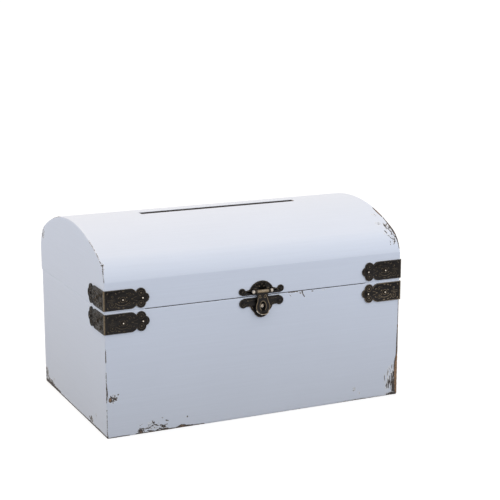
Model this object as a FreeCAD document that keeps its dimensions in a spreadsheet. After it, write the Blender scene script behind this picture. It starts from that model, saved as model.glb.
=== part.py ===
import FreeCAD, Part
import math
import os

import Sketcher
from FreeCAD import Placement, Rotation, Vector

# Card box with an arched lid, in millimetres
# Origin at the middle of the underside, +X to the right, front towards -Y, +Z up

DIMENSIONS = [
    ("box_width", 330, "outside width of base and lid"),
    ("box_depth", 206, "outside depth of the base"),
    ("base_height", 127.5, "underside to the top edge of the base"),
    ("wall_thickness", 9, "boards of the base, rails and ends of the lid"),
    ("bottom_thickness", 5, "bottom board"),
    ("rabbet_depth", 4, "how far the bottom board is let into the walls"),
    ("board_clearance", 0.2, "play round the bottom board"),
    ("seam_gap", 0.6, "shadow gap between base and lid"),
    ("rail_height", 29.2, "straight rails of the lid, up to the crease"),
    ("crown_rise", 44.2, "crease to the ridge of the lid"),
    ("rear_overhang", 2.4, "how far the lid stands out behind the base"),
    ("top_thickness", 3.5, "bent panel of the lid"),
    ("haunch_radius", 31, "tight outer bend of the panel at front and rear"),
    ("haunch_drop", 5.1, "centre of that bend below the crease"),
    ("slot_length", 178, "card slot along the ridge"),
    ("slot_width", 9.5, "card slot across the ridge"),
    ("slot_shift", 1, "slot centre to the right of the middle"),
    ("plate_thickness", 1.2, "sheet of the brackets and latch plates"),
    ("bracket_offset", 11.75, "bracket centre line to the seam"),
    ("strap_height", 20, "bracket strap"),
    ("strap_straight", 26.6, "corner to the start of the strap shoulder"),
    ("shoulder_radius", 7, "rounded end of the strap"),
    ("lobe_radius", 5, "trefoil lobes"),
    ("lobe_reach", 37.5, "corner to the side lobes"),
    ("lobe_spread", 5, "side lobes off the centre line"),
    ("tip_reach", 41, "corner to the tip lobe"),
    ("nail_near", 18.6, "corner to the first nail"),
    ("nail_far", 39, "corner to the second nail"),
    ("nail_radius", 0.7, "nail shank"),
    ("nail_length", 6.5, "nail in the wood"),
    ("nail_head_radius", 1.7, "domed nail head"),
    ("nail_head_height", 1.1, "domed nail head"),
    ("fit_clearance", 0.05, "radial play of nails, screws and the stud"),
    ("pilot_extra", 0.5, "pilot holes beyond the tips"),
    ("latch_shift", 2.2, "latch centre to the right of the middle"),
    ("latch_gap", 1.4, "edge of either latch plate to the seam centre"),
    ("crest_radius", 14, "round crest of the upper plate"),
    ("ear_lobe_radius", 3.6, "end lobes of the upper plate"),
    ("ear_lobe_reach", 21.5, "latch centre to the end lobes"),
    ("ear_lobe_rise", 5.5, "end lobes above the seam centre"),
    ("bar_height", 4.8, "bar that joins the end lobes"),
    ("pin_rise", 5.2, "hasp pin above the seam centre"),
    ("pin_standoff", 3.4, "hasp pin in front of the wood"),
    ("pin_radius", 1, "hasp pin"),
    ("pin_ball_radius", 2, "ball ends of the hasp pin"),
    ("lug_radius", 2.2, "lugs that hold the hasp pin"),
    ("lug_thickness", 1.6, "lugs that hold the hasp pin"),
    ("barrel_radius", 1.9, "rolled barrel of the hasp"),
    ("barrel_length", 12.4, "rolled barrel and neck of the hasp"),
    ("lug_play", 0.2, "barrel end to the lug"),
    ("running_clearance", 0.05, "radial play on a pin"),
    ("hasp_thickness", 1.3, "sheet of the hasp"),
    ("home_gap", 0.3, "hasp to the lower plate when snapped home"),
    ("eye_radius", 8.1, "round end of the hasp"),
    ("eye_drop", 16.3, "hasp pin to the centre of the round end"),
    ("lip_start", 19.6, "hasp pin to the start of the curled lip"),
    ("lip_radius", 3.5, "inside bend of the curled lip"),
    ("lip_angle", 72, "bend of the curled lip"),
    ("hole_width", 6, "oval hole in the hasp"),
    ("hole_height", 9.5, "oval hole in the hasp"),
    ("hasp_rest", 6, "hasp at rest, turned out from home"),
    ("stud_drop", 10.3, "stud below the seam centre"),
    ("stud_radius", 2.2, "head of the stud"),
    ("stud_neck", 1.2, "straight part of the stud head"),
    ("stud_dome", 0.95, "rounded tip of the stud"),
    ("stud_shank", 1.2, "radius of the stud in the wood"),
    ("stud_depth", 6, "stud in the wood"),
    ("wing_height", 9, "wings of the lower plate below its top edge"),
    ("wing_lobe_radius", 4.6, "ends of the wings"),
    ("wing_lobe_reach", 20, "latch centre to the ends of the wings"),
    ("wing_lobe_drop", 6.8, "ends of the wings below the seam centre"),
    ("web_radius", 13, "round web of the lower plate"),
    ("tongue_radius", 8.5, "round tongue of the lower plate"),
    ("tongue_drop", 14.3, "tongue centre below the seam centre"),
    ("hinge_inset", 70, "end of the box to the middle of a hinge"),
    ("hinge_length", 30, "butt hinge"),
    ("hinge_offset", 0.3, "hinge axis behind the base"),
    ("leaf_depth", 6.1, "hinge leaf in from the back of the base"),
    ("leaf_thickness", 1.2, "hinge leaf"),
    ("leaf_gap", 0.3, "between the closed leaves"),
    ("knuckle_radius", 2.2, "hinge knuckle"),
    ("knuckle_gap", 0.2, "between knuckles along the pin"),
    ("relief_clearance", 0.3, "room round a knuckle"),
    ("gain_clearance", 0.15, "room round a let-in leaf"),
    ("hinge_pin_radius", 1, "hinge pin"),
    ("screw_spacing", 18, "between the two screws of a leaf"),
    ("screw_inset", 2.1, "inner edge of the leaf to the screws"),
    ("screw_radius", 0.9, "screw shank"),
    ("screw_length", 9, "screw with its head"),
    ("screw_head_radius", 1.7, "countersunk head"),
    ("screw_head_height", 0.9, "countersunk head"),
]

doc = FreeCAD.newDocument("card_box")
sheet = doc.addObject("Spreadsheet::Sheet", "sheet")
for row, (alias, value, note) in enumerate(DIMENSIONS, 1):
    sheet.set(f"A{row}", note)
    sheet.set(f"B{row}", str(value))
    sheet.setAlias(f"B{row}", alias)
doc.recompute()

# Positions that follow from the driving sizes
LEFT = "(-sheet.box_width / 2)"
FRONT = "(-sheet.box_depth / 2)"
REAR = "(sheet.box_depth / 2)"
LID_REAR = "(sheet.box_depth / 2 + sheet.rear_overhang)"
RIDGE_Y = "(sheet.rear_overhang / 2)"
SEAM = "(sheet.base_height + sheet.seam_gap / 2)"
LID_FLOOR = "(sheet.base_height + sheet.seam_gap)"
CREASE = f"({LID_FLOOR} + sheet.rail_height)"
TOP = f"({CREASE} + sheet.crown_rise)"
BRACKET_Z = f"({SEAM} + sheet.bracket_offset)"
BRACKET_Y = f"({FRONT} - sheet.plate_thickness)"
BRACKET_X = f"({LEFT} - sheet.plate_thickness)"
PIN_Y = f"({FRONT} - sheet.pin_standoff)"
PIN_Z = f"({SEAM} + sheet.pin_rise)"
HINGE_X = "(-sheet.box_width / 2 + sheet.hinge_inset)"
HINGE_Y = f"({REAR} + sheet.hinge_offset)"

# Directions that a turned piece points along
UP = Rotation()
DOWN = Rotation(Vector(1, 0, 0), 180)
INTO_FRONT = Rotation(Vector(1, 0, 0), -90)
OUT_OF_FRONT = Rotation(Vector(1, 0, 0), 90)
INTO_LEFT = Rotation(Vector(0, 1, 0), 90)
OUT_OF_LEFT = Rotation(Vector(0, 1, 0), -90)
TO_RIGHT = INTO_LEFT

nodes = []


def size(alias):
    return float(sheet.get(alias))


def bind(item, cells):
    for name, cell in cells.items():
        item.setExpression(name, cell)


def place(item, x, y, z, turn=UP):
    item.Placement = Placement(Vector(), turn)
    bind(item, {"Placement.Base.x": x, "Placement.Base.y": y, "Placement.Base.z": z})
    return item


def box(name, corner, lengths):
    item = doc.addObject("Part::Box", name)
    bind(item, dict(zip(("Length", "Width", "Height"), lengths)))
    return place(item, *corner)


def rod(name, start, radius, length, turn=UP):
    item = doc.addObject("Part::Cylinder", name)
    bind(item, {"Radius": radius, "Height": length})
    return place(item, *start, turn)


def cone(name, start, radius_start, radius_end, length, turn=UP):
    item = doc.addObject("Part::Cone", name)
    bind(item, {"Radius1": radius_start, "Radius2": radius_end, "Height": length})
    return place(item, *start, turn)


def dome(name, centre, radius, height, turn=UP):
    item = doc.addObject("Part::Ellipsoid", name)
    item.Angle1 = 0
    bind(item, {"Radius1": height, "Radius2": radius, "Radius3": radius})
    return place(item, *centre, turn)


def fuse(name, shapes):
    item = doc.addObject("Part::MultiFuse", name)
    item.Shapes = shapes
    item.Refine = True
    return item


def common(name, base, tool):
    item = doc.addObject("Part::Common", name)
    item.Base = base
    item.Tool = tool
    return item


def cut(name, base, tools):
    item = doc.addObject("Part::Cut", name)
    item.Base = base
    item.Tool = fuse(f"{name}_tools", tools) if len(tools) > 1 else tools[0]
    return item


def mirror(name, source, normal, base_z="0"):
    item = doc.addObject("Part::Mirroring", name)
    item.Source = source
    item.Normal = normal
    item.setExpression("Base.z", base_z)
    return item


def mirror_right(name, source):
    return mirror(name, source, Vector(1, 0, 0))


def mirror_seam(name, source):
    return mirror(name, source, Vector(0, 0, 1), SEAM)


def group(name, shapes):
    item = doc.addObject("Part::Compound", name)
    item.Links = shapes
    return item


def keep(item, label):
    item.Label = label
    nodes.append(item)
    return item


# Nails and their holes, through a plate of the common sheet
def nail(name, point, into, out):
    shank = rod(f"{name}_shank", point, "sheet.nail_radius",
                "sheet.nail_length + sheet.plate_thickness", into)
    head = dome(f"{name}_head", point, "sheet.nail_head_radius", "sheet.nail_head_height", out)
    return fuse(name, [shank, head])


def nail_hole(name, point, into):
    depth = "sheet.nail_length + sheet.plate_thickness + sheet.pilot_extra"
    return rod(name, point, "sheet.nail_radius + sheet.fit_clearance", depth, into)


bracket_points = []
for reach in ("nail_near", "nail_far"):
    front_point = (f"{LEFT} + sheet.{reach}", BRACKET_Y, BRACKET_Z)
    side_point = (BRACKET_X, f"{FRONT} + sheet.{reach}", BRACKET_Z)
    bracket_points.append((f"front_{reach}", front_point, INTO_FRONT, OUT_OF_FRONT))
    bracket_points.append((f"side_{reach}", side_point, INTO_LEFT, OUT_OF_LEFT))

left_nails = group("left_nails", [nail(f"{n}_nail", p, into, out) for n, p, into, out in bracket_points])
lid_nails = group("lid_nails", [left_nails, mirror_right("right_nails", left_nails)])
keep(lid_nails, "lid_bracket_nails")
keep(mirror_seam("base_nails", lid_nails), "base_bracket_nails")

left_holes = fuse("left_holes", [nail_hole(f"{n}_hole", p, into) for n, p, into, out in bracket_points])
lid_holes = fuse("lid_holes", [left_holes, mirror_right("right_holes", left_holes)])
base_holes = mirror_seam("base_holes", lid_holes)


# Corner brackets: a strap with a trefoil on each face
def bracket_leg(name, at, turn):
    half = "sheet.strap_height / 2"
    inner = f"({half} - sheet.shoulder_radius)"
    discs = [
        ("shoulder_up", "sheet.strap_straight", inner, "sheet.shoulder_radius"),
        ("shoulder_down", "sheet.strap_straight", f"-{inner}", "sheet.shoulder_radius"),
        ("lobe_up", "sheet.lobe_reach", "sheet.lobe_spread", "sheet.lobe_radius"),
        ("lobe_down", "sheet.lobe_reach", "-sheet.lobe_spread", "sheet.lobe_radius"),
        ("lobe_tip", "sheet.tip_reach", "0", "sheet.lobe_radius"),
    ]
    return [
        rod(f"{name}_{part}", at(reach, f"{BRACKET_Z} + {rise}"), radius, "sheet.plate_thickness", turn)
        for part, reach, rise, radius in discs
    ]


strap_foot = f"{BRACKET_Z} - sheet.strap_height / 2"
end_foot = f"{BRACKET_Z} - (sheet.strap_height / 2 - sheet.shoulder_radius)"
end_height = "sheet.strap_height - 2 * sheet.shoulder_radius"
end_reach = "sheet.lobe_reach"
front_leg = bracket_leg("front_leg", lambda reach, z: (f"{LEFT} + {reach}", FRONT, z), OUT_OF_FRONT)
front_leg.append(
    box("front_strap", (LEFT, BRACKET_Y, strap_foot),
        ("sheet.strap_straight", "sheet.plate_thickness", "sheet.strap_height")))
front_leg.append(
    box("front_strap_end", (LEFT, BRACKET_Y, end_foot), (end_reach, "sheet.plate_thickness", end_height)))
side_leg = bracket_leg("side_leg", lambda reach, z: (LEFT, f"{FRONT} + {reach}", z), OUT_OF_LEFT)
side_leg.append(
    box("side_strap", (BRACKET_X, FRONT, strap_foot),
        ("sheet.plate_thickness", "sheet.strap_straight", "sheet.strap_height")))
side_leg.append(
    box("side_strap_end", (BRACKET_X, FRONT, end_foot), ("sheet.plate_thickness", end_reach, end_height)))
corner_bend = rod("corner_bend", (LEFT, FRONT, strap_foot), "sheet.plate_thickness", "sheet.strap_height",
                  Rotation(Vector(0, 0, 1), 180))
corner_bend.Angle = 90
bracket_blank = fuse("bracket_blank", front_leg + side_leg + [corner_bend])
bracket = cut("bracket", bracket_blank, [left_holes])
keep(bracket, "lid_bracket_left")
keep(mirror_right("bracket_lid_right", bracket), "lid_bracket_right")
base_bracket = mirror_seam("bracket_base_left", bracket)
keep(base_bracket, "base_bracket_left")
keep(mirror_right("bracket_base_right", base_bracket), "base_bracket_right")


# Latch: upper plate with lugs, pin, lower plate, stud
def latch_x(reach):
    return f"sheet.latch_shift + {reach}"


def sides(reach):
    return (("left", latch_x(f"-{reach}")), ("right", latch_x(reach)))


LOBE_Z = f"({SEAM} + sheet.ear_lobe_rise)"
WING_Z = f"({SEAM} - sheet.wing_lobe_drop)"
upper_points = [(side, (x, BRACKET_Y, LOBE_Z)) for side, x in sides("sheet.ear_lobe_reach")]
lower_points = [(side, (x, BRACKET_Y, WING_Z)) for side, x in sides("sheet.wing_lobe_reach")]
upper_holes = [nail_hole(f"upper_{side}_hole", p, INTO_FRONT) for side, p in upper_points]
lower_holes = [nail_hole(f"lower_{side}_hole", p, INTO_FRONT) for side, p in lower_points]
upper_nails = [nail(f"upper_{side}_nail", p, INTO_FRONT, OUT_OF_FRONT) for side, p in upper_points]
lower_nails = [nail(f"lower_{side}_nail", p, INTO_FRONT, OUT_OF_FRONT) for side, p in lower_points]
keep(group("upper_nails", upper_nails), "latch_upper_nails")
keep(group("lower_nails", lower_nails), "latch_catch_nails")

upper_edge = f"({SEAM} + sheet.latch_gap)"
lower_edge = f"({SEAM} - sheet.latch_gap)"
crest_disc = rod("crest_disc", (latch_x("0"), FRONT, upper_edge), "sheet.crest_radius",
                 "sheet.plate_thickness", OUT_OF_FRONT)
crest_side = box("crest_side", (latch_x("-sheet.crest_radius"), BRACKET_Y, upper_edge),
                 ("2 * sheet.crest_radius", "sheet.plate_thickness", "sheet.crest_radius"))
crest = common("crest", crest_disc, crest_side)
upper_bar = box("upper_bar", (latch_x("-sheet.ear_lobe_reach"), BRACKET_Y, upper_edge),
                ("2 * sheet.ear_lobe_reach", "sheet.plate_thickness", "sheet.bar_height"))
upper_lobes = [
    rod(f"upper_{side}_lobe", (x, FRONT, LOBE_Z), "sheet.ear_lobe_radius",
        "sheet.plate_thickness", OUT_OF_FRONT)
    for side, x in sides("sheet.ear_lobe_reach")
]
lug_inner = "(sheet.barrel_length / 2 + sheet.lug_play)"
lug_outer = f"({lug_inner} + sheet.lug_thickness)"
lugs = []
for side, lug_x in (("left", latch_x(f"-{lug_outer}")), ("right", latch_x(lug_inner))):
    lugs.append(
        rod(f"{side}_lug_eye", (lug_x, PIN_Y, PIN_Z), "sheet.lug_radius",
            "sheet.lug_thickness", TO_RIGHT))
    lugs.append(
        box(f"{side}_lug_root", (lug_x, PIN_Y, f"{PIN_Z} - sheet.lug_radius"),
            ("sheet.lug_thickness", "sheet.pin_standoff", "2 * sheet.lug_radius")))
lug_bore = rod("lug_bore", (latch_x(f"-{lug_outer}"), PIN_Y, PIN_Z),
               "sheet.pin_radius + sheet.running_clearance", f"2 * {lug_outer}", TO_RIGHT)
upper_blank = fuse("upper_blank", [crest, upper_bar] + upper_lobes + lugs)
keep(cut("upper_plate", upper_blank, upper_holes + [lug_bore]), "latch_upper_plate")

ball_reach = f"({lug_outer} + sheet.pin_ball_radius)"
pin_shaft = rod("pin_shaft", (latch_x(f"-{ball_reach}"), PIN_Y, PIN_Z), "sheet.pin_radius",
                f"2 * {ball_reach}", TO_RIGHT)
pin_balls = []
for side, ball_x in sides(ball_reach):
    ball = doc.addObject("Part::Sphere", f"{side}_ball")
    ball.setExpression("Radius", "sheet.pin_ball_radius")
    pin_balls.append(place(ball, ball_x, PIN_Y, PIN_Z))
keep(fuse("hasp_pin", [pin_shaft] + pin_balls), "latch_hinge_pin")

web_disc = rod("web_disc", (latch_x("0"), FRONT, WING_Z), "sheet.web_radius",
               "sheet.plate_thickness", OUT_OF_FRONT)
web_side = box("web_side", (latch_x("-sheet.web_radius"), BRACKET_Y, f"{WING_Z} - sheet.web_radius"),
               ("2 * sheet.web_radius", "sheet.plate_thickness",
                f"{lower_edge} - {WING_Z} + sheet.web_radius"))
web = common("web", web_disc, web_side)
wing_bar = box("wing_bar",
               (latch_x("-sheet.wing_lobe_reach"), BRACKET_Y, f"{lower_edge} - sheet.wing_height"),
               ("2 * sheet.wing_lobe_reach", "sheet.plate_thickness", "sheet.wing_height"))
wing_lobes = [
    rod(f"wing_{side}_lobe", (x, FRONT, WING_Z), "sheet.wing_lobe_radius",
        "sheet.plate_thickness", OUT_OF_FRONT)
    for side, x in sides("sheet.wing_lobe_reach")
]
tongue = rod("tongue", (latch_x("0"), FRONT, f"{SEAM} - sheet.tongue_drop"), "sheet.tongue_radius",
             "sheet.plate_thickness", OUT_OF_FRONT)
stud_point = (latch_x("0"), BRACKET_Y, f"{SEAM} - sheet.stud_drop")
stud_hole = rod("stud_hole", stud_point, "sheet.stud_shank + sheet.fit_clearance",
                "sheet.plate_thickness + sheet.stud_depth + sheet.pilot_extra", INTO_FRONT)
lower_blank = fuse("lower_blank", [web, wing_bar, tongue] + wing_lobes)
keep(cut("lower_plate", lower_blank, lower_holes + [stud_hole]), "latch_catch_plate")

stud_shank = rod("stud_shank", stud_point, "sheet.stud_shank",
                 "sheet.plate_thickness + sheet.stud_depth", INTO_FRONT)
stud_neck = rod("stud_neck", stud_point, "sheet.stud_radius", "sheet.stud_neck", OUT_OF_FRONT)
stud_tip = (stud_point[0], f"{BRACKET_Y} - sheet.stud_neck", stud_point[2])
stud_dome = dome("stud_dome", stud_tip, "sheet.stud_radius", "sheet.stud_dome", OUT_OF_FRONT)
keep(fuse("stud", [stud_shank, stud_neck, stud_dome]), "latch_catch_stud")

# Hasp, drawn about its own pin and snapped home, then turned out to its rest
HASP_BACK = "(sheet.pin_standoff - sheet.plate_thickness - sheet.home_gap)"
HASP_FACE = f"({HASP_BACK} - sheet.hasp_thickness)"
hasp_sheet = box("hasp_sheet", ("-sheet.eye_radius", HASP_FACE, "-sheet.lip_start"),
                 ("2 * sheet.eye_radius", "sheet.hasp_thickness", "sheet.lip_start"))
lip_start = ("-sheet.eye_radius", f"{HASP_FACE} - sheet.lip_radius", "-sheet.lip_start")
lip_end = ("sheet.eye_radius",) + lip_start[1:]
lip_outer = rod("lip_outer", lip_end, "sheet.lip_radius + sheet.hasp_thickness", "2 * sheet.eye_radius",
                Rotation(Vector(0, 1, 0), Vector(0, 0, -1), Vector(-1, 0, 0), "ZXY"))
lip_outer.setExpression("Angle", "sheet.lip_angle")
lip_inner = rod("lip_inner", lip_start, "sheet.lip_radius", "2 * sheet.eye_radius", TO_RIGHT)
hasp_strip = fuse("hasp_strip", [hasp_sheet, cut("lip", lip_outer, [lip_inner])])
outline_back = f"{HASP_BACK} + sheet.hasp_thickness"
outline_depth = f"{HASP_BACK} - {HASP_FACE} + 2 * sheet.hasp_thickness + 2 * sheet.lip_radius"
hasp_eye = rod("hasp_eye", ("0", outline_back, "-sheet.eye_drop"), "sheet.eye_radius",
               outline_depth, OUT_OF_FRONT)
hasp_neck = box("hasp_neck",
                ("-sheet.barrel_length / 2", f"{outline_back} - ({outline_depth})", "-sheet.eye_drop"),
                ("sheet.barrel_length", outline_depth, "sheet.eye_drop"))
hasp_form = common("hasp_form", hasp_strip, fuse("hasp_outline", [hasp_eye, hasp_neck]))
hole_half = "(sheet.hole_height / 2 - sheet.hole_width / 2)"
hole_z = "(-(sheet.pin_rise + sheet.stud_drop))"
hole_ends = [
    rod(f"hole_{end}", ("0", outline_back, f"{hole_z} {sign} {hole_half}"), "sheet.hole_width / 2",
        outline_depth, OUT_OF_FRONT)
    for end, sign in (("top", "+"), ("foot", "-"))
]
hole_corner = ("-sheet.hole_width / 2", f"{outline_back} - ({outline_depth})", f"{hole_z} - {hole_half}")
hole_middle = box("hole_middle", hole_corner, ("sheet.hole_width", outline_depth, f"2 * {hole_half}"))
barrel = rod("barrel", ("-sheet.barrel_length / 2", "0", "0"), "sheet.barrel_radius",
             "sheet.barrel_length", TO_RIGHT)
barrel_bore = rod("barrel_bore", ("-sheet.barrel_length / 2", "0", "0"),
                  "sheet.pin_radius + sheet.running_clearance", "sheet.barrel_length", TO_RIGHT)
hasp_blank = fuse("hasp_blank", [hasp_form, barrel])
hasp = cut("hasp", hasp_blank, hole_ends + [hole_middle, barrel_bore])
place(hasp, latch_x("0"), PIN_Y, PIN_Z, Rotation(Vector(-1, 0, 0), size("hasp_rest")))
hasp.setExpression("Placement.Rotation.Angle", "sheet.hasp_rest")
keep(hasp, "latch_hasp")

# Butt hinges, the left one drawn and the right one mirrored
KNUCKLE = "((sheet.hinge_length - 2 * sheet.knuckle_gap) / 3)"
HINGE_START = f"({HINGE_X} - sheet.hinge_length / 2)"
LEAF_EDGE = f"({REAR} - sheet.leaf_depth)"
LEAF_TOP = f"({SEAM} - sheet.leaf_gap / 2)"
LEAF_FOOT = f"({LEAF_TOP} - sheet.leaf_thickness)"
relief_radius = "sheet.knuckle_radius + sheet.relief_clearance"
middle_start = f"({HINGE_START} + {KNUCKLE} + sheet.knuckle_gap)"
last_start = f"({HINGE_START} + sheet.hinge_length - {KNUCKLE})"

screw_y = f"{LEAF_EDGE} + sheet.screw_inset"
screw_points = []
for side, sign in (("outer", "-"), ("inner", "+")):
    screw_points.append((side, f"{HINGE_X} {sign} sheet.screw_spacing / 2"))


def screw(name, x, play="0"):
    head = cone(f"{name}_head", (x, screw_y, f"{LEAF_TOP} - sheet.screw_head_height"),
                f"sheet.screw_radius + {play}", f"sheet.screw_head_radius + {play}",
                "sheet.screw_head_height")
    extra = "0" if play == "0" else "sheet.pilot_extra"
    shank = rod(f"{name}_shank", (x, screw_y, LEAF_TOP), f"sheet.screw_radius + {play}",
                f"sheet.screw_length + {extra}", DOWN)
    return fuse(name, [head, shank])


left_screws = group("left_screws", [screw(f"{side}_screw", x) for side, x in screw_points])
base_screws = group("base_screws", [left_screws, mirror_right("right_screws", left_screws)])
keep(base_screws, "hinge_base_screws")
keep(mirror_seam("lid_screws", base_screws), "hinge_lid_screws")
screw_holes = fuse("screw_holes", [
    screw(f"{side}_screw_hole", x, "sheet.fit_clearance") for side, x in screw_points])
lid_screw_holes = mirror_seam("lid_screw_holes", screw_holes)


def knuckle(name, start, radius, play="0"):
    return rod(name, (f"{start} - {play}", HINGE_Y, SEAM), radius, f"{KNUCKLE} + 2 * {play}", TO_RIGHT)


leaf_size = ("sheet.hinge_length", f"{HINGE_Y} - {LEAF_EDGE}", "sheet.leaf_thickness")
base_leaf_plate = box("base_leaf_plate", (HINGE_START, LEAF_EDGE, LEAF_FOOT), leaf_size)
lid_leaf_plate = box("lid_leaf_plate", (HINGE_START, LEAF_EDGE, f"{SEAM} + sheet.leaf_gap / 2"), leaf_size)
middle_room = knuckle("middle_room", middle_start, relief_radius, "sheet.knuckle_gap")
first_room = knuckle("first_room", HINGE_START, relief_radius, "sheet.knuckle_gap")
last_room = knuckle("last_room", last_start, relief_radius, "sheet.knuckle_gap")
hinge_bore = rod("hinge_bore", (HINGE_START, HINGE_Y, SEAM),
                 "sheet.hinge_pin_radius + sheet.running_clearance", "sheet.hinge_length", TO_RIGHT)
base_leaf_form = fuse("base_leaf_form", [
    cut("base_leaf_cleared", base_leaf_plate, [middle_room]),
    knuckle("first_knuckle", HINGE_START, "sheet.knuckle_radius"),
    knuckle("last_knuckle", last_start, "sheet.knuckle_radius"),
])
lid_leaf_form = fuse("lid_leaf_form", [
    cut("lid_leaf_cleared", lid_leaf_plate, [first_room, last_room]),
    knuckle("middle_knuckle", middle_start, "sheet.knuckle_radius"),
])
base_leaf = cut("base_leaf", base_leaf_form, [hinge_bore, screw_holes])
lid_leaf = cut("lid_leaf", lid_leaf_form, [hinge_bore, lid_screw_holes])
hinge_pin = rod("hinge_pin", (HINGE_START, HINGE_Y, SEAM), "sheet.hinge_pin_radius",
                "sheet.hinge_length", TO_RIGHT)
keep(base_leaf, "hinge_left_base_leaf")
keep(lid_leaf, "hinge_left_lid_leaf")
keep(hinge_pin, "hinge_left_pin")
keep(mirror_right("base_leaf_right", base_leaf), "hinge_right_base_leaf")
keep(mirror_right("lid_leaf_right", lid_leaf), "hinge_right_lid_leaf")
keep(mirror_right("hinge_pin_right", hinge_pin), "hinge_right_pin")

# Gains that let the hinges into the rear boards
gain_length = "sheet.hinge_length + 2 * sheet.gain_clearance"
gain_start = f"{HINGE_START} - sheet.gain_clearance"
gain_edge = f"({LEAF_EDGE} - sheet.gain_clearance)"
gain_depth = f"{HINGE_Y} - {gain_edge}"
base_gain = box("base_gain", (gain_start, gain_edge, LEAF_FOOT),
                (gain_length, gain_depth, f"{SEAM} - {LEAF_FOOT}"))
knuckle_gain = rod("knuckle_gain", (gain_start, HINGE_Y, SEAM), relief_radius, gain_length, TO_RIGHT)
left_gain = fuse("left_gain", [base_gain, knuckle_gain, screw_holes])
base_gains = [left_gain, mirror_right("right_gain", left_gain)]
lid_gains = [mirror_seam("lid_left_gain", left_gain), mirror_seam("lid_right_gain", base_gains[1])]

# Boards of the base, with the bottom board in a rabbet
recess_width = "(sheet.box_width - 2 * (sheet.wall_thickness - sheet.rabbet_depth))"
recess_depth = "(sheet.box_depth - 2 * (sheet.wall_thickness - sheet.rabbet_depth))"
recess = box("recess", (f"-{recess_width} / 2", f"-{recess_depth} / 2", "0"),
             (recess_width, recess_depth, "sheet.bottom_thickness"))
bottom_width = f"({recess_width} - 2 * sheet.board_clearance)"
bottom_depth = f"({recess_depth} - 2 * sheet.board_clearance)"
bottom = box("bottom", (f"-{bottom_width} / 2", f"-{bottom_depth} / 2", "0"),
             (bottom_width, bottom_depth, "sheet.bottom_thickness"))
keep(bottom, "base_bottom_panel")
board = ("sheet.box_width", "sheet.wall_thickness", "sheet.base_height")
front_board = box("front_board", (LEFT, FRONT, "0"), board)
keep(cut("front_panel", front_board, [recess, base_holes, stud_hole] + lower_holes), "base_front_panel")
rear_board = box("rear_board", (LEFT, f"{REAR} - sheet.wall_thickness", "0"), board)
keep(cut("rear_panel", rear_board, [recess] + base_gains), "base_rear_panel")
side_length = "sheet.box_depth - 2 * sheet.wall_thickness"
side_board = box("side_board", (LEFT, f"{FRONT} + sheet.wall_thickness", "0"),
                 ("sheet.wall_thickness", side_length, "sheet.base_height"))
left_panel = cut("left_panel", side_board, [recess, base_holes])
keep(left_panel, "base_left_panel")
keep(mirror_right("right_panel", left_panel), "base_right_panel")

# Rails of the lid, between its ends
rail = ("sheet.box_width - 2 * sheet.wall_thickness", "sheet.wall_thickness", "sheet.rail_height")
rail_start = f"{LEFT} + sheet.wall_thickness"
front_blank = box("front_blank", (rail_start, FRONT, LID_FLOOR), rail)
keep(cut("front_rail", front_blank, [lid_holes] + upper_holes), "lid_front_rail")
rear_blank = box("rear_blank", (rail_start, f"{LID_REAR} - sheet.wall_thickness", LID_FLOOR), rail)
keep(cut("rear_rail", rear_blank, lid_gains), "lid_rear_rail")

# Arch of the lid: two tight haunches and a wide crown between them
HAUNCH_Z = f"({CREASE} - sheet.haunch_drop)"
HALF_SPAN = ("((sheet.box_depth + sheet.rear_overhang) / 2 + sheet.haunch_radius"
             " - sqrt(sheet.haunch_radius ^ 2 - sheet.haunch_drop ^ 2))")
ARCH_RISE = "(sheet.crown_rise + sheet.haunch_drop)"
CROWN_RADIUS = (f"(({HALF_SPAN} ^ 2 - 2 * {HALF_SPAN} * sheet.haunch_radius + {ARCH_RISE} ^ 2)"
                f" / (2 * ({ARCH_RISE} - sheet.haunch_radius)))")
HAUNCH_REACH = f"({HALF_SPAN} - sheet.haunch_radius)"

haunch_radius = size("haunch_radius")
haunch_drop = size("haunch_drop")
ridge_y = size("rear_overhang") / 2
lid_floor = size("base_height") + size("seam_gap")
crease = lid_floor + size("rail_height")
haunch_z = crease - haunch_drop
half_lid = (size("box_depth") + size("rear_overhang")) / 2
half_span = half_lid + haunch_radius - math.sqrt(haunch_radius ** 2 - haunch_drop ** 2)
arch_rise = size("crown_rise") + haunch_drop
crown_radius = half_span ** 2 - 2 * half_span * haunch_radius + arch_rise ** 2
crown_radius /= 2 * (arch_rise - haunch_radius)
haunch_reach = half_span - haunch_radius
crown_z = haunch_z + arch_rise - crown_radius
bend_angle = math.atan2(haunch_z - crown_z, haunch_reach)


def sketch_on(body, role, name, offset):
    sketch = body.newObject("Sketcher::SketchObject", name)
    plane = [item for item in body.Origin.OriginFeatures if item.Role == role][0]
    sketch.AttachmentSupport = [(plane, "")]
    sketch.MapMode = "FlatFace"
    sketch.setExpression("AttachmentOffset.Base.z", offset)
    return sketch


def relate(sketch, *terms):
    sketch.addConstraint(Sketcher.Constraint(*terms))


def dimension(sketch, name, cell, *terms):
    index = sketch.addConstraint(Sketcher.Constraint(*terms))
    sketch.renameConstraint(index, name)
    sketch.setExpression(f"Constraints.{name}", cell)


def arc(sketch, y, z, radius, start, end):
    circle = Part.Circle(Vector(y, z, 0), Vector(0, 0, 1), radius)
    return sketch.addGeometry(Part.ArcOfCircle(circle, start, end))


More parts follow.
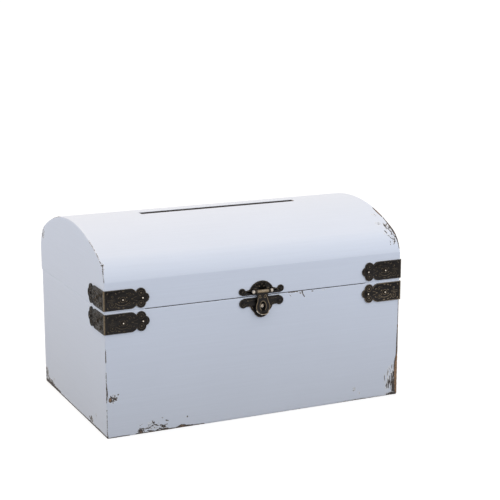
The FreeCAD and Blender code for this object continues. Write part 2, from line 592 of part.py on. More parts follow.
# Three tangent arcs, set in from the outside of the bent panel
def arch(sketch, name, inset, inset_cell):
    low = math.asin(haunch_drop / (haunch_radius - inset))
    radius = haunch_radius - inset
    rear = arc(sketch, ridge_y + haunch_reach, haunch_z, radius, low, bend_angle)
    crown = arc(sketch, ridge_y, crown_z, crown_radius - inset, bend_angle, math.pi - bend_angle)
    front = arc(sketch, ridge_y - haunch_reach, haunch_z, radius, math.pi - bend_angle, math.pi - low)
    relate(sketch, "Tangent", rear, 2, crown, 1)
    relate(sketch, "Tangent", crown, 2, front, 1)
    bend_cell = f"sheet.haunch_radius - {inset_cell}"
    dimension(sketch, f"{name}_rear_radius", bend_cell, "Radius", rear, radius)
    dimension(sketch, f"{name}_front_radius", bend_cell, "Radius", front, radius)
    dimension(sketch, f"{name}_crown_radius", f"{CROWN_RADIUS} - {inset_cell}", "Radius", crown,
              crown_radius - inset)
    dimension(sketch, f"{name}_rear_y", f"{RIDGE_Y} + {HAUNCH_REACH}", "DistanceX", -1, 1, rear, 3,
              ridge_y + haunch_reach)
    dimension(sketch, f"{name}_front_y", f"{HAUNCH_REACH} - {RIDGE_Y}", "DistanceX", front, 3, -1, 1,
              haunch_reach - ridge_y)
    dimension(sketch, f"{name}_rear_z", HAUNCH_Z, "DistanceY", -1, 1, rear, 3, haunch_z)
    dimension(sketch, f"{name}_front_z", HAUNCH_Z, "DistanceY", -1, 1, front, 3, haunch_z)
    return rear, crown, front


def crease_point(radius, side):
    reach = haunch_reach + math.sqrt(radius ** 2 - haunch_drop ** 2)
    return Vector(ridge_y + side * reach, crease, 0)


def line(sketch, start, end):
    return sketch.addGeometry(Part.LineSegment(start, end))


thickness = size("top_thickness")
outer_radius = haunch_radius
inner_radius = haunch_radius - thickness

top_body = doc.addObject("PartDesign::Body", "top_body")
bent = sketch_on(top_body, "YZ_Plane", "bent_section", LEFT)
outer_rear, outer_crown, outer_front = arch(bent, "outer", 0, "0")
inner_rear, inner_crown, inner_front = arch(bent, "inner", thickness, "sheet.top_thickness")
front_edge = line(bent, crease_point(outer_radius, -1), crease_point(inner_radius, -1))
rear_edge = line(bent, crease_point(inner_radius, 1), crease_point(outer_radius, 1))
relate(bent, "Coincident", outer_front, 2, front_edge, 1)
relate(bent, "Coincident", front_edge, 2, inner_front, 2)
relate(bent, "Coincident", inner_rear, 1, rear_edge, 1)
relate(bent, "Coincident", rear_edge, 2, outer_rear, 1)
relate(bent, "Horizontal", front_edge)
relate(bent, "Horizontal", rear_edge)
dimension(bent, "front_crease", CREASE, "DistanceY", -1, 1, front_edge, 1, crease)
dimension(bent, "rear_crease", CREASE, "DistanceY", -1, 1, rear_edge, 1, crease)
bent_pad = top_body.newObject("PartDesign::Pad", "bent_pad")
bent_pad.Profile = bent
bent_pad.setExpression("Length", "sheet.box_width")

# Card slot through the ridge
slot_sketch = sketch_on(top_body, "XY_Plane", "slot_outline", TOP)
slot_x = size("slot_shift")
slot_half = size("slot_length") / 2
slot_wide = size("slot_width") / 2
corners = [
    Vector(slot_x - slot_half, ridge_y - slot_wide, 0),
    Vector(slot_x + slot_half, ridge_y - slot_wide, 0),
    Vector(slot_x + slot_half, ridge_y + slot_wide, 0),
    Vector(slot_x - slot_half, ridge_y + slot_wide, 0),
]
slot_lines = [line(slot_sketch, corners[i], corners[(i + 1) % 4]) for i in range(4)]
for i in range(4):
    relate(slot_sketch, "Coincident", slot_lines[i], 2, slot_lines[(i + 1) % 4], 1)
    relate(slot_sketch, "Horizontal" if i % 2 == 0 else "Vertical", slot_lines[i])
dimension(slot_sketch, "length", "sheet.slot_length", "DistanceX",
          slot_lines[0], 1, slot_lines[0], 2, 2 * slot_half)
dimension(slot_sketch, "width", "sheet.slot_width", "DistanceY",
          slot_lines[1], 1, slot_lines[1], 2, 2 * slot_wide)
dimension(slot_sketch, "right_end", "sheet.slot_shift + sheet.slot_length / 2", "DistanceX", -1, 1,
          slot_lines[1], 1, slot_x + slot_half)
dimension(slot_sketch, "rear_side", f"{RIDGE_Y} + sheet.slot_width / 2", "DistanceY", -1, 1,
          slot_lines[1], 2, ridge_y + slot_wide)
slot = top_body.newObject("PartDesign::Pocket", "slot")
slot.Profile = slot_sketch
slot.Type = "ThroughAll"
keep(top_body, "lid_top_panel")

# Arched ends, with ledges beside the panel edges
end_body = doc.addObject("PartDesign::Body", "end_body")
end_sketch = sketch_on(end_body, "YZ_Plane", "end_outline", LEFT)
end_rear, end_crown, end_front = arch(end_sketch, "inner", thickness, "sheet.top_thickness")
front_face = -size("box_depth") / 2
rear_face = size("box_depth") / 2 + size("rear_overhang")
outline = [
    crease_point(inner_radius, -1),
    Vector(front_face, crease, 0),
    Vector(front_face, lid_floor, 0),
    Vector(rear_face, lid_floor, 0),
    Vector(rear_face, crease, 0),
    crease_point(inner_radius, 1),
]
end_lines = [line(end_sketch, start, end) for start, end in zip(outline, outline[1:])]
relate(end_sketch, "Coincident", end_front, 2, end_lines[0], 1)
for first, second in zip(end_lines, end_lines[1:]):
    relate(end_sketch, "Coincident", first, 2, second, 1)
relate(end_sketch, "Coincident", end_lines[4], 2, end_rear, 1)
for edge, kind in zip(end_lines, ("Horizontal", "Vertical", "Horizontal", "Vertical", "Horizontal")):
    relate(end_sketch, kind, edge)
dimension(end_sketch, "front_crease", CREASE, "DistanceY", -1, 1, end_lines[1], 1, crease)
dimension(end_sketch, "rear_crease", CREASE, "DistanceY", -1, 1, end_lines[3], 2, crease)
dimension(end_sketch, "floor", LID_FLOOR, "DistanceY", -1, 1, end_lines[2], 1, lid_floor)
dimension(end_sketch, "front_face", "sheet.box_depth / 2", "DistanceX", end_lines[1], 1, -1, 1, -front_face)
dimension(end_sketch, "rear_face", LID_REAR, "DistanceX", -1, 1, end_lines[3], 1, rear_face)
end_pad = end_body.newObject("PartDesign::Pad", "end_pad")
end_pad.Profile = end_sketch
end_pad.setExpression("Length", "sheet.wall_thickness")
left_end = cut("left_end", end_body, [left_holes])
keep(left_end, "lid_left_end")
keep(mirror_right("right_end", left_end), "lid_right_end")

doc.recompute()

# Every object sound before anything is written
for item in doc.Objects:
    if "Invalid" in item.State or "Error" in item.State:
        raise RuntimeError(f"{item.Label} did not recompute: {item.State}")
for item in nodes:
    if item.Shape.isNull() or not item.Shape.isValid() or item.Shape.Volume <= 0:
        raise RuntimeError(f"{item.Label} has no sound shape")

os.makedirs("parts", exist_ok=True)
for item in nodes:
    item.Shape.exportStep(f"parts/{item.Label}.step")
    print(item.Label, len(item.Shape.Solids), round(item.Shape.Volume, 1))
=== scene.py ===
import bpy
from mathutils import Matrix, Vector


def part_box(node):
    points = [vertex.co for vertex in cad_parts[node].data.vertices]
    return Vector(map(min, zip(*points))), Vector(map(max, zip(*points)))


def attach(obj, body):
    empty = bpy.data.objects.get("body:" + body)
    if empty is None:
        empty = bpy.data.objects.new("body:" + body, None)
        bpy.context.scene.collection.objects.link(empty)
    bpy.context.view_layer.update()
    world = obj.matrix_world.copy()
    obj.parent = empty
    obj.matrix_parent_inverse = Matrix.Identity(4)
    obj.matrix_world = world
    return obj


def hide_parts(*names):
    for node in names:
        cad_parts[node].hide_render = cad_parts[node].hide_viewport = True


bl_info = {
    "name": "Arched Card Box",
    "version": (1, 0, 0),
    "blender": (4, 5, 0),
    "location": "3D View > Sidebar > Card Box",
    "description": "Painted boards and stamped fittings for a card box with an arched lid",
    "category": "Object",
}

import math
import random

import bmesh
import bpy
from mathutils import Matrix, Vector, noise

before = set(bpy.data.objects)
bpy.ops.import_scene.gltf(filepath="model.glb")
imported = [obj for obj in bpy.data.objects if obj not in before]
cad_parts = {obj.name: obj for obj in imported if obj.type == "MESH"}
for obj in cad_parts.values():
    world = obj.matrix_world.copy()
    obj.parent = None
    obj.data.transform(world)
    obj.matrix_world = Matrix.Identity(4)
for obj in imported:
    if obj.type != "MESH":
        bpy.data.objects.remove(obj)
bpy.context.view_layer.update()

MM = 0.001

# Places of the boards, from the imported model
BASE_LOW, BASE_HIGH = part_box("base_front_panel")
REAR_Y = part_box("base_rear_panel")[1].y
LID_LOW, LID_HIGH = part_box("lid_left_end")
CREASE_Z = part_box("lid_top_panel")[0].z
TOP_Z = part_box("lid_top_panel")[1].z
HALF_WIDTH = BASE_HIGH.x
FRONT_Y = BASE_LOW.y
LID_REAR_Y = LID_HIGH.y
RIDGE_Y = (FRONT_Y + LID_REAR_Y) / 2
WALL = BASE_HIGH.y - BASE_LOW.y
SEAM_Z = (BASE_HIGH.z + LID_LOW.z) / 2
SEAM_GAP = LID_LOW.z - BASE_HIGH.z
BED_X = 122 * MM  # The lid beds down on the base outside this
BOTTOM_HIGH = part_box("base_bottom_panel")[1]
PIN_LOW, PIN_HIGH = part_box("latch_hinge_pin")
STUD_LOW, STUD_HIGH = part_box("latch_catch_stud")
LATCH_X = (PIN_LOW.x + PIN_HIGH.x) / 2
PIN_Y = (PIN_LOW.y + PIN_HIGH.y) / 2
PIN_Z = (PIN_LOW.z + PIN_HIGH.z) / 2
STUD_Z = (STUD_LOW.z + STUD_HIGH.z) / 2
PLATE = FRONT_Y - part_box("latch_catch_plate")[0].y


def linear(code):
    """Linear colour of an sRGB hex value."""
    parts = [int(code[i:i + 2], 16) / 255 for i in (0, 2, 4)]
    return [c / 12.92 if c <= 0.04045 else ((c + 0.055) / 1.055) ** 2.4 for c in parts] + [1.0]


class CardBoxSizes(bpy.types.PropertyGroup):
    """Sizes of the boards and fittings."""

    edge_round: bpy.props.FloatProperty(
        name="Edge Round", description="Rounding of the outer edges under the paint",
        default=0.9 * MM, min=0.1 * MM, unit="LENGTH")
    seam_round: bpy.props.FloatProperty(
        name="Seam Round", description="Rounding of the edges along the seam and the slot",
        default=0.35 * MM, min=0.05 * MM, unit="LENGTH")
    heel_round: bpy.props.FloatProperty(
        name="Heel Round", description="Rounding of the lower rear edge of the lid, which clears the base",
        default=1.3 * MM, min=0.5 * MM, unit="LENGTH")
    side_seam: bpy.props.FloatProperty(
        name="Side Seam", description="Seam gap at the sides, where the lid beds down",
        default=0.05 * MM, min=0.0, unit="LENGTH")
    grid: bpy.props.FloatProperty(
        name="Board Grid", description="Spacing of the mesh lines on a board",
        default=3 * MM, min=1 * MM, unit="LENGTH")
    chip_depth: bpy.props.FloatProperty(
        name="Chip Depth", description="Deepest chip in a worn edge",
        default=0.6 * MM, min=0.0, unit="LENGTH")
    haunch_radius: bpy.props.FloatProperty(
        name="Haunch Radius", description="Tight bend of the lid at front and rear",
        default=31 * MM, min=10 * MM, unit="LENGTH")
    haunch_drop: bpy.props.FloatProperty(
        name="Haunch Drop", description="Centre of that bend below the crease",
        default=5.1 * MM, min=0.0, unit="LENGTH")
    panel_thickness: bpy.props.FloatProperty(
        name="Panel Thickness", description="Bent panel of the lid",
        default=3.5 * MM, min=1 * MM, unit="LENGTH")
    slot_length: bpy.props.FloatProperty(
        name="Slot Length", description="Card slot along the ridge",
        default=178 * MM, min=50 * MM, unit="LENGTH")
    slot_width: bpy.props.FloatProperty(
        name="Slot Width", description="Card slot across the ridge",
        default=9.5 * MM, min=2 * MM, unit="LENGTH")
    slot_shift: bpy.props.FloatProperty(
        name="Slot Shift", description="Slot centre to the right of the middle",
        default=1 * MM, unit="LENGTH")
    rim_width: bpy.props.FloatProperty(
        name="Rim Width", description="Raised rim of the stamped plates",
        default=0.7 * MM, min=0.2 * MM, unit="LENGTH")
    stamp_depth: bpy.props.FloatProperty(
        name="Stamp Depth", description="Field of a stamped plate below its rim",
        default=0.4 * MM, min=0.0, unit="LENGTH")


class CardBoxFinish(bpy.types.PropertyGroup):
    """Colours of the finishes."""

    paint: bpy.props.FloatVectorProperty(
        name="Paint", description="Pale lavender white paint",
        subtype="COLOR", size=4, min=0, max=1, default=linear("D5DAE3"))
    primer: bpy.props.FloatVectorProperty(
        name="Primer", description="White ground coat at the lips of the chips",
        subtype="COLOR", size=4, min=0, max=1, default=linear("E9E8E6"))
    wood: bpy.props.FloatVectorProperty(
        name="Wood", description="Bare wood in the deep chips",
        subtype="COLOR", size=4, min=0, max=1, default=linear("A9835F"))
    # The stain also gives the painted shade in the front of the seam and in the walls of the slot
    stain: bpy.props.FloatVectorProperty(
        name="Stain", description="Dark wood stain round the chips",
        subtype="COLOR", size=4, min=0, max=1, default=linear("443D39"))
    patina: bpy.props.FloatVectorProperty(
        name="Patina", description="Dark patina in the hollows of the bronze",
        subtype="COLOR", size=4, min=0, max=1, default=linear("2A2827"))
    rubbed: bpy.props.FloatVectorProperty(
        name="Rubbed Bronze", description="Bronze where handling has rubbed the patina off",
        subtype="COLOR", size=4, min=0, max=1, default=linear("7E705C"))
    # Pale brass, near white: on the nail crowns and the most rubbed bronze it also paints highlights
    brass: bpy.props.FloatVectorProperty(
        name="Brass", description="Bright brass of the pin, the stud and the nail heads",
        subtype="COLOR", size=4, min=0, max=1, default=linear("F2EEE6"))
    tarnish: bpy.props.FloatVectorProperty(
        name="Tarnish", description="Brown tarnish on the brass",
        subtype="COLOR", size=4, min=0, max=1, default=linear("6B5230"))


# Finishes


def add(tree, kind, inputs=None, output=0, **settings):
    """Adds a shader node with its settings, sets or links its inputs, and gives one of its outputs."""
    node = tree.nodes.new("ShaderNode" + kind)
    for name, value in settings.items():
        setattr(node, name, value)
    for socket, value in (inputs or {}).items():
        if isinstance(value, bpy.types.NodeSocket):
            tree.links.new(value, node.inputs[socket])
        else:
            node.inputs[socket].default_value = value
    return node.outputs[output] if node.outputs else None


def new_material(name):
    """An empty material, its tree and its object coordinates in millimetres."""
    material = bpy.data.materials.new(name)
    material.use_nodes = True
    tree = material.node_tree
    tree.nodes.clear()
    place = add(tree, "TexCoord", output="Object")
    place = add(tree, "VectorMath", {0: place, "Scale": 1 / MM}, operation="SCALE")
    return material, tree, place


def paint_wear(tree, place):
    """How far the paint has gone: past 1 its ground coat shows, then stained wood, then bare wood."""
    # Flakes about 1.8 mm across, cracks that branch every 4 mm, and upright scrapes 1.2 mm wide
    flakes = add(tree, "TexNoise", {"Vector": place, "Scale": 1 / 1.8, "Detail": 5.0,
                                    "Roughness": 0.6, "Distortion": 0.6})
    veins = add(tree, "TexNoise", {"Vector": place, "Scale": 1 / 4, "Detail": 4.0,
                                   "Roughness": 0.5, "Distortion": 1.0})
    upright = add(tree, "Mapping", {"Vector": place, "Scale": (1 / 1.2, 1 / 1.2, 1 / 9)})
    marks = add(tree, "TexNoise", {"Vector": upright, "Scale": 1.0, "Detail": 4.0,
                                   "Roughness": 0.6, "Distortion": 0.3})
    # Chips where the wear outweighs the flakes, cracks round them, scrapes over the upright marks
    chips = add(tree, "Attribute", output="Fac", attribute_name="chips")
    scrapes = add(tree, "Attribute", output="Fac", attribute_name="scrapes")
    inside = add(tree, "Attribute", output="Fac", attribute_name="inside")
    chipped = add(tree, "Math", {0: flakes, 1: 1.25, 2: chips}, operation="MULTIPLY_ADD")
    scraped = add(tree, "Math", {0: marks, 1: 1.25, 2: scrapes}, operation="MULTIPLY_ADD")
    vein = add(tree, "Math", {0: veins, 1: 0.5}, operation="SUBTRACT")
    vein = add(tree, "Math", {0: vein}, operation="ABSOLUTE")
    cracked = add(tree, "Math", {0: vein, 1: -7.0, 2: chips}, operation="MULTIPLY_ADD")
    cracked = add(tree, "Math", {0: cracked, 1: 0.85}, operation="ADD")
    level = add(tree, "Math", {0: chipped, 1: scraped}, operation="MAXIMUM")
    level = add(tree, "Math", {0: level, 1: cracked}, operation="MAXIMUM")
    # The inside attribute leaves faces bare: inside and under the box as bare wood, in the front of the
    # seam and the slot walls as dark stain, painted shade
    return add(tree, "Math", {0: inside, 1: 2.0, 2: level}, operation="MULTIPLY_ADD")


def milk_paint(across=False):
    """Brushed satin paint over stained pine: an even pale coat with faint strokes, worn at the edges."""
    name = "Distressed milk paint on pine" + (", cross boards" if across else "")
    if name in bpy.data.materials:
        return bpy.data.materials[name]
    colours = bpy.context.scene.card_box_finish
    material, tree, place = new_material(name)
    # Strokes about 1.4 mm wide and 70 mm long, and a 60 mm cloud of uneven film
    brush = (1 / 1.4, 1 / 70, 1 / 1.4) if across else (1 / 70, 1 / 1.4, 1 / 1.4)
    along = add(tree, "Mapping", {"Vector": place, "Scale": brush})
    strokes = add(tree, "TexNoise", {"Vector": along, "Scale": 1.0, "Detail": 3.0, "Roughness": 0.6})
    cloud = add(tree, "TexNoise", {"Vector": place, "Scale": 1 / 60, "Detail": 2.0})
    # Levels of wear at which the ground coat, the stained wood and the bare wood show; stained wood in the
    # seam and the slot walls is painted shade
    level = paint_wear(tree, place)
    ground, stained, deep = [
        add(tree, "MapRange", {"Value": level, "From Min": start, "From Max": end},
            interpolation_type="SMOOTHSTEP")
        for start, end in ((1.02, 1.09), (1.11, 1.16), (1.46, 1.72))]
    # Pine with grain about 0.8 mm wide along the boards
    growth = (1 / 0.8, 1 / 25, 1 / 0.8) if across else (1 / 25, 1 / 0.8, 1 / 0.8)
    along = add(tree, "Mapping", {"Vector": place, "Scale": growth})
    grain = add(tree, "TexNoise", {"Vector": along, "Scale": 1.0, "Detail": 4.0, "Roughness": 0.65})
    tint = add(tree, "MapRange", {"Value": grain, "From Min": 0.38, "From Max": 0.72})
    wood = add(tree, "Mix", {0: tint, 6: colours.wood, 7: colours.stain}, 2, data_type="RGBA")
    wood = add(tree, "Mix", {0: deep, 6: colours.stain, 7: wood}, 2, data_type="RGBA")
    # Even coat, a little thinner in the strokes and the cloud
    tone = add(tree, "Math", {0: strokes, 1: 0.07, 2: 0.945}, operation="MULTIPLY_ADD")
    tone = add(tree, "Math", {0: cloud, 1: 0.04, 2: tone}, operation="MULTIPLY_ADD")
    coat = add(tree, "VectorMath", {0: colours.paint[:3], "Scale": tone}, operation="SCALE")
    coat = add(tree, "Mix", {0: ground, 6: coat, 7: colours.primer}, 2, data_type="RGBA")
    colour = add(tree, "Mix", {0: stained, 6: coat, 7: wood}, 2, data_type="RGBA")
    # Film about 0.15 mm thick with stroke ridges, and open grain in the wood
    film = add(tree, "Math", {0: stained, 1: -0.15, 2: 0.15}, operation="MULTIPLY_ADD")
    film = add(tree, "Math", {0: strokes, 1: 0.045, 2: film}, operation="MULTIPLY_ADD")
    pores = add(tree, "Math", {0: grain, 1: stained}, operation="MULTIPLY")
    film = add(tree, "Math", {0: pores, 1: 0.12, 2: film}, operation="MULTIPLY_ADD")
    bump = add(tree, "Bump", {"Height": film, "Strength": 0.8, "Distance": MM})
    dull = add(tree, "Math", {0: cloud, 1: 0.12, 2: 0.4}, operation="MULTIPLY_ADD")
    dull = add(tree, "Math", {0: stained, 1: 0.3, 2: dull}, operation="MULTIPLY_ADD")
    shader = add(tree, "BsdfPrincipled",
                 {"Base Color": colour, "Roughness": dull, "Normal": bump, "IOR": 1.5})
    add(tree, "OutputMaterial", {"Surface": shader})
    return material


def antique_bronze():
    """Stamped bronze with a patina: nearly black in the hollows, golden brown where it has been rubbed, and
    pale as brass where rubbed most, which also paints the highlights of the hasp barrel and lip.
    """
    name = "Antique bronze, stamped"
    if name in bpy.data.materials:
        return bpy.data.materials[name]
    colours = bpy.context.scene.card_box_finish
    material, tree, place = new_material(name)
    # Patches of patina about 1.6 mm across and a cast grain of 0.4 mm
    patches = add(tree, "TexNoise", {"Vector": place, "Scale": 1 / 1.6, "Detail": 5.0, "Roughness": 0.65})
    grain = add(tree, "TexNoise", {"Vector": place, "Scale": 1 / 0.4, "Detail": 2.0})
    rub = add(tree, "Attribute", output="Fac", attribute_name="rub")
    level = add(tree, "Math", {0: patches, 1: 0.9, 2: rub}, operation="MULTIPLY_ADD")
    shine, polish_and_highlight = [
        add(tree, "MapRange", {"Value": level, "From Min": start, "From Max": end},
            interpolation_type="SMOOTHSTEP")
        for start, end in ((0.54, 1.5), (1.6, 2.2))]
    colour = add(tree, "Mix", {0: shine, 6: colours.patina, 7: colours.rubbed}, 2, data_type="RGBA")
    colour = add(tree, "Mix", {0: polish_and_highlight, 6: colour, 7: colours.brass}, 2, data_type="RGBA")
    shade = add(tree, "Math", {0: grain, 1: 0.5, 2: 0.75}, operation="MULTIPLY_ADD")
    colour = add(tree, "VectorMath", {0: colour, "Scale": shade}, operation="SCALE")
    dull = add(tree, "Math", {0: shine, 1: -0.15, 2: 0.45}, operation="MULTIPLY_ADD")
    dull = add(tree, "Math", {0: patches, 1: 0.12, 2: dull}, operation="MULTIPLY_ADD")
    bump = add(tree, "Bump", {"Height": grain, "Strength": 0.5, "Distance": 0.06 * MM})
    shader = add(tree, "BsdfPrincipled",
                 {"Base Color": colour, "Roughness": dull, "Normal": bump, "Metallic": 1.0})
    add(tree, "OutputMaterial", {"Surface": shader})
    return material


def bright_brass():
    """Turned brass, bright where it is rubbed and dark with tarnish round that, with fine lathe marks; on
    the nail crowns the bright brass is also a painted highlight.
    """
    name = "Turned brass, tarnished"
    if name in bpy.data.materials:
        return bpy.data.materials[name]
    colours = bpy.context.scene.card_box_finish
    material, tree, place = new_material(name)
    # Tarnish in patches about 1.2 mm across and lathe marks of 0.25 mm
    patches = add(tree, "TexNoise", {"Vector": place, "Scale": 1 / 1.2, "Detail": 4.0, "Roughness": 0.6})
    marks = add(tree, "TexNoise", {"Vector": place, "Scale": 1 / 0.25, "Detail": 1.0})
    rub = add(tree, "Attribute", output="Fac", attribute_name="rub")
    level = add(tree, "Math", {0: patches, 1: 0.6, 2: rub}, operation="MULTIPLY_ADD")
    worn, shine = [
        add(tree, "MapRange", {"Value": level, "From Min": start, "From Max": end})
        for start, end in ((0.35, 0.8), (0.8, 1.15))]
    colour = add(tree, "Mix", {0: worn, 6: colours.patina, 7: colours.tarnish}, 2, data_type="RGBA")
    colour = add(tree, "Mix", {0: shine, 6: colour, 7: colours.brass}, 2, data_type="RGBA")
    dull = add(tree, "Math", {0: shine, 1: -0.2, 2: 0.42}, operation="MULTIPLY_ADD")
    bump = add(tree, "Bump", {"Height": marks, "Strength": 0.3, "Distance": 0.03 * MM})
    shader = add(tree, "BsdfPrincipled",
                 {"Base Color": colour, "Roughness": dull, "Normal": bump, "Metallic": 1.0})
    add(tree, "OutputMaterial", {"Surface": shader})
    return material


# Arch of the lid

# Mesh lines round each haunch and over the crown
HAUNCH_STEPS = 16
CROWN_STEPS = 44


def arch_sizes():
    """Outer arch: haunch radius, reach and height, crown radius and height, and bend angle."""
    sizes = bpy.context.scene.card_box_sizes
    radius, drop = sizes.haunch_radius, sizes.haunch_drop
    span = (LID_REAR_Y - FRONT_Y) / 2 + radius - math.sqrt(radius ** 2 - drop ** 2)
    rise = TOP_Z - CREASE_Z + drop
    crown = (span ** 2 - 2 * span * radius + rise ** 2) / (2 * (rise - radius))
    haunch_z = CREASE_Z - drop
    crown_z = TOP_Z - crown
    reach = span - radius
    return radius, reach, haunch_z, crown, crown_z, math.atan2(haunch_z - crown_z, reach)


def arch_centre(y, z):
    """Centre and radius of the bend that a point of the arch lies on."""
    radius, reach, haunch_z, crown, crown_z, bend = arch_sizes()
    out = abs(y - RIDGE_Y)
    if (out - reach) * math.sin(bend) > (z - haunch_z) * math.cos(bend):
        return Vector((RIDGE_Y + math.copysign(reach, y - RIDGE_Y), haunch_z)), radius
    return Vector((RIDGE_Y, crown_z)), crown


def below_arch(y, z):
    """How far a point lies under the outside of the bent panel."""
    centre, radius = arch_centre(y, z)
    return radius - (Vector((y, z)) - centre).length


def arch_height(y):
    """Height of the outside of the bent panel."""
    radius, reach, haunch_z, crown, crown_z, bend = arch_sizes()
    out = abs(y - RIDGE_Y)
    if out < crown * math.cos(bend):
        return crown_z + math.sqrt(crown ** 2 - out ** 2)
    return haunch_z + math.sqrt(max(0.0, radius ** 2 - (out - reach) ** 2))


def made_verts(geometry):
    """The vertices among what an operator has made."""
    return [item for item in geometry if isinstance(item, bmesh.types.BMVert)]


def arch_wire(bm, x, inset):
    """Spins a wire along the arch, from the front crease to the rear crease, and gives its two ends."""
    radius, reach, haunch_z, crown, crown_z, bend = arch_sizes()
    low = math.asin(bpy.context.scene.card_box_sizes.haunch_drop / (radius - inset))
    first = bm.verts.new((x, RIDGE_Y - reach - (radius - inset) * math.cos(low), CREASE_Z))
    last = first
    for y, z, turn, steps in (
        (RIDGE_Y - reach, haunch_z, bend - low, HAUNCH_STEPS),
        (RIDGE_Y, crown_z, math.pi - 2 * bend, CROWN_STEPS),
        (RIDGE_Y + reach, haunch_z, bend - low, HAUNCH_STEPS),
    ):
        made = bmesh.ops.spin(bm, geom=[last], cent=(x, y, z), axis=(-1, 0, 0), dvec=(0, 0, 0), angle=turn,
                              steps=steps, use_merge=False, use_duplicate=False)
        last = made_verts(made["geom_last"])[0]
    return first, last


# Wear of the painted edges

# Worn places: x, y, z, then reach along x, y and z in millimetres, then strength
WORN_PLACES = (
    # Front, along the seam
    (48, -103, 125.6, 7, 3, 3.2, 0.4), (20, -103, 126, 8, 3, 2, 0.35), (75, -103, 126, 6, 3, 2, 0.35),
    # Front left corner
    (-165, -103, 60, 1.2, 1.2, 22, 0.5), (-161, -103, 39.5, 2.6, 3, 3.8, 1.05),
    (-158, -103, 41, 8, 3, 7, 0.46),
    (-152.6, -103, 43.8, 1.3, 3, 1.6, 0.75), (-155.4, -103, 47.1, 1.1, 3, 1.4, 0.7),
    (-165, -103, 15, 1.2, 1.2, 26, 0.5), (-165, -103, 108, 1.2, 1.2, 14, 0.4),
    # Front, along the bottom
    (-130, -103, 2.6, 4, 4, 3.4, 0.8), (-105.5, -103, 4.4, 4.5, 4, 2.4, 0.62),
    (-85, -103, 1.6, 5, 4, 2.6, 0.95),
    (-117, -103, 7, 20, 3, 8, 0.36), (-103, -103, 1.4, 5, 3, 2, 0.8), (-80.1, -103, 10.9, 1.4, 3, 1.4, 0.8),
    (112, -103, 12.8, 4, 3, 5, 0.42), (118, -103, 8, 3, 3, 4, 0.34),
    (120, -103, 0, 50, 3, 1.7, 0.66), (30, -103, 0, 60, 3, 1.5, 0.42),
    # Front right corner
    (165, -103, 66, 1.6, 1.6, 24, 0.66), (165, -103, 96, 1.3, 1.3, 18, 0.56),
    (165, -103, 22, 5, 2.4, 34, 2.0),
    (158, -103, 1, 14, 4, 4, 0.62),
    # Left side
    (-165, 97, 11, 3, 10, 13, 0.5), (-165, 84, 4, 3, 22, 7, 0.5), (-165, -56, 5, 3, 9, 9, 0.48),
    (-165, 103, 60, 1.6, 1.6, 55, 0.5), (-165, 70, 11, 3, 9, 5, 0.36), (-165, -70, 14, 3, 5, 5, 0.36),
    # Right side and rear
    (165, 72, 3, 3, 22, 7, 0.52), (165, -38, 1, 3, 40, 3, 0.6), (165, 22, 9, 3, 8, 8, 0.44),
    (165, 98, 16, 3, 8, 17, 0.48), (165, 103, 70, 2, 2, 30, 0.6), (165, -96, 30, 3, 8, 26, 0.42),
    (148, 103, 5, 14, 4, 10, 0.48), (-118, 103, 3, 22, 4, 8, 0.5), (58, 103, 1, 34, 4, 3, 0.6),
    (-20, 103, 8, 8, 3, 8, 0.42), (-165, 103, 20, 3, 3, 22, 0.6),
    # Right edge of the arch
    (164, -60, 191.5, 3, 5, 3, 0.7), (160, -84, 181.5, 7, 11, 9, 0.44), (161, -97, 170, 6, 6, 10, 0.46),
    (156, -62, 191, 7, 9, 5, 0.34), (152, -78, 185, 7, 9, 6, 0.36), (154, -92, 176, 6, 7, 8, 0.38),
    (165, 74, 187, 2.4, 18, 9, 0.62), (161, 80, 184, 7, 12, 7, 0.46), (163, 99, 168, 4, 7, 9, 0.52),
    # Left edge of the arch
    (-163, -95, 172, 3, 8, 12, 0.38), (-165, 96, 172, 1.4, 11, 20, 0.4),
    # Rear edge of the lid and the ends of the slot
    (110, 105, 158, 20, 3, 5, 0.48), (-60, 105, 129, 30, 3, 3, 0.5), (90, 1, 201, 4, 6, 3, 0.42),
)

# Scraped places, in the same order, where the marks run upright
SCRAPED_PLACES = (
    (153, -103, 15, 9, 3, 22, 0.46), (160, -103, 15, 8, 3, 28, 0.6), (155, -103, 24, 6, 3, 20, 0.47),
    (165, 60, 12, 3, 16, 18, 0.46), (165, -92, 14, 3, 10, 18, 0.5), (-140, 103, 12, 12, 3, 17, 0.48),
)

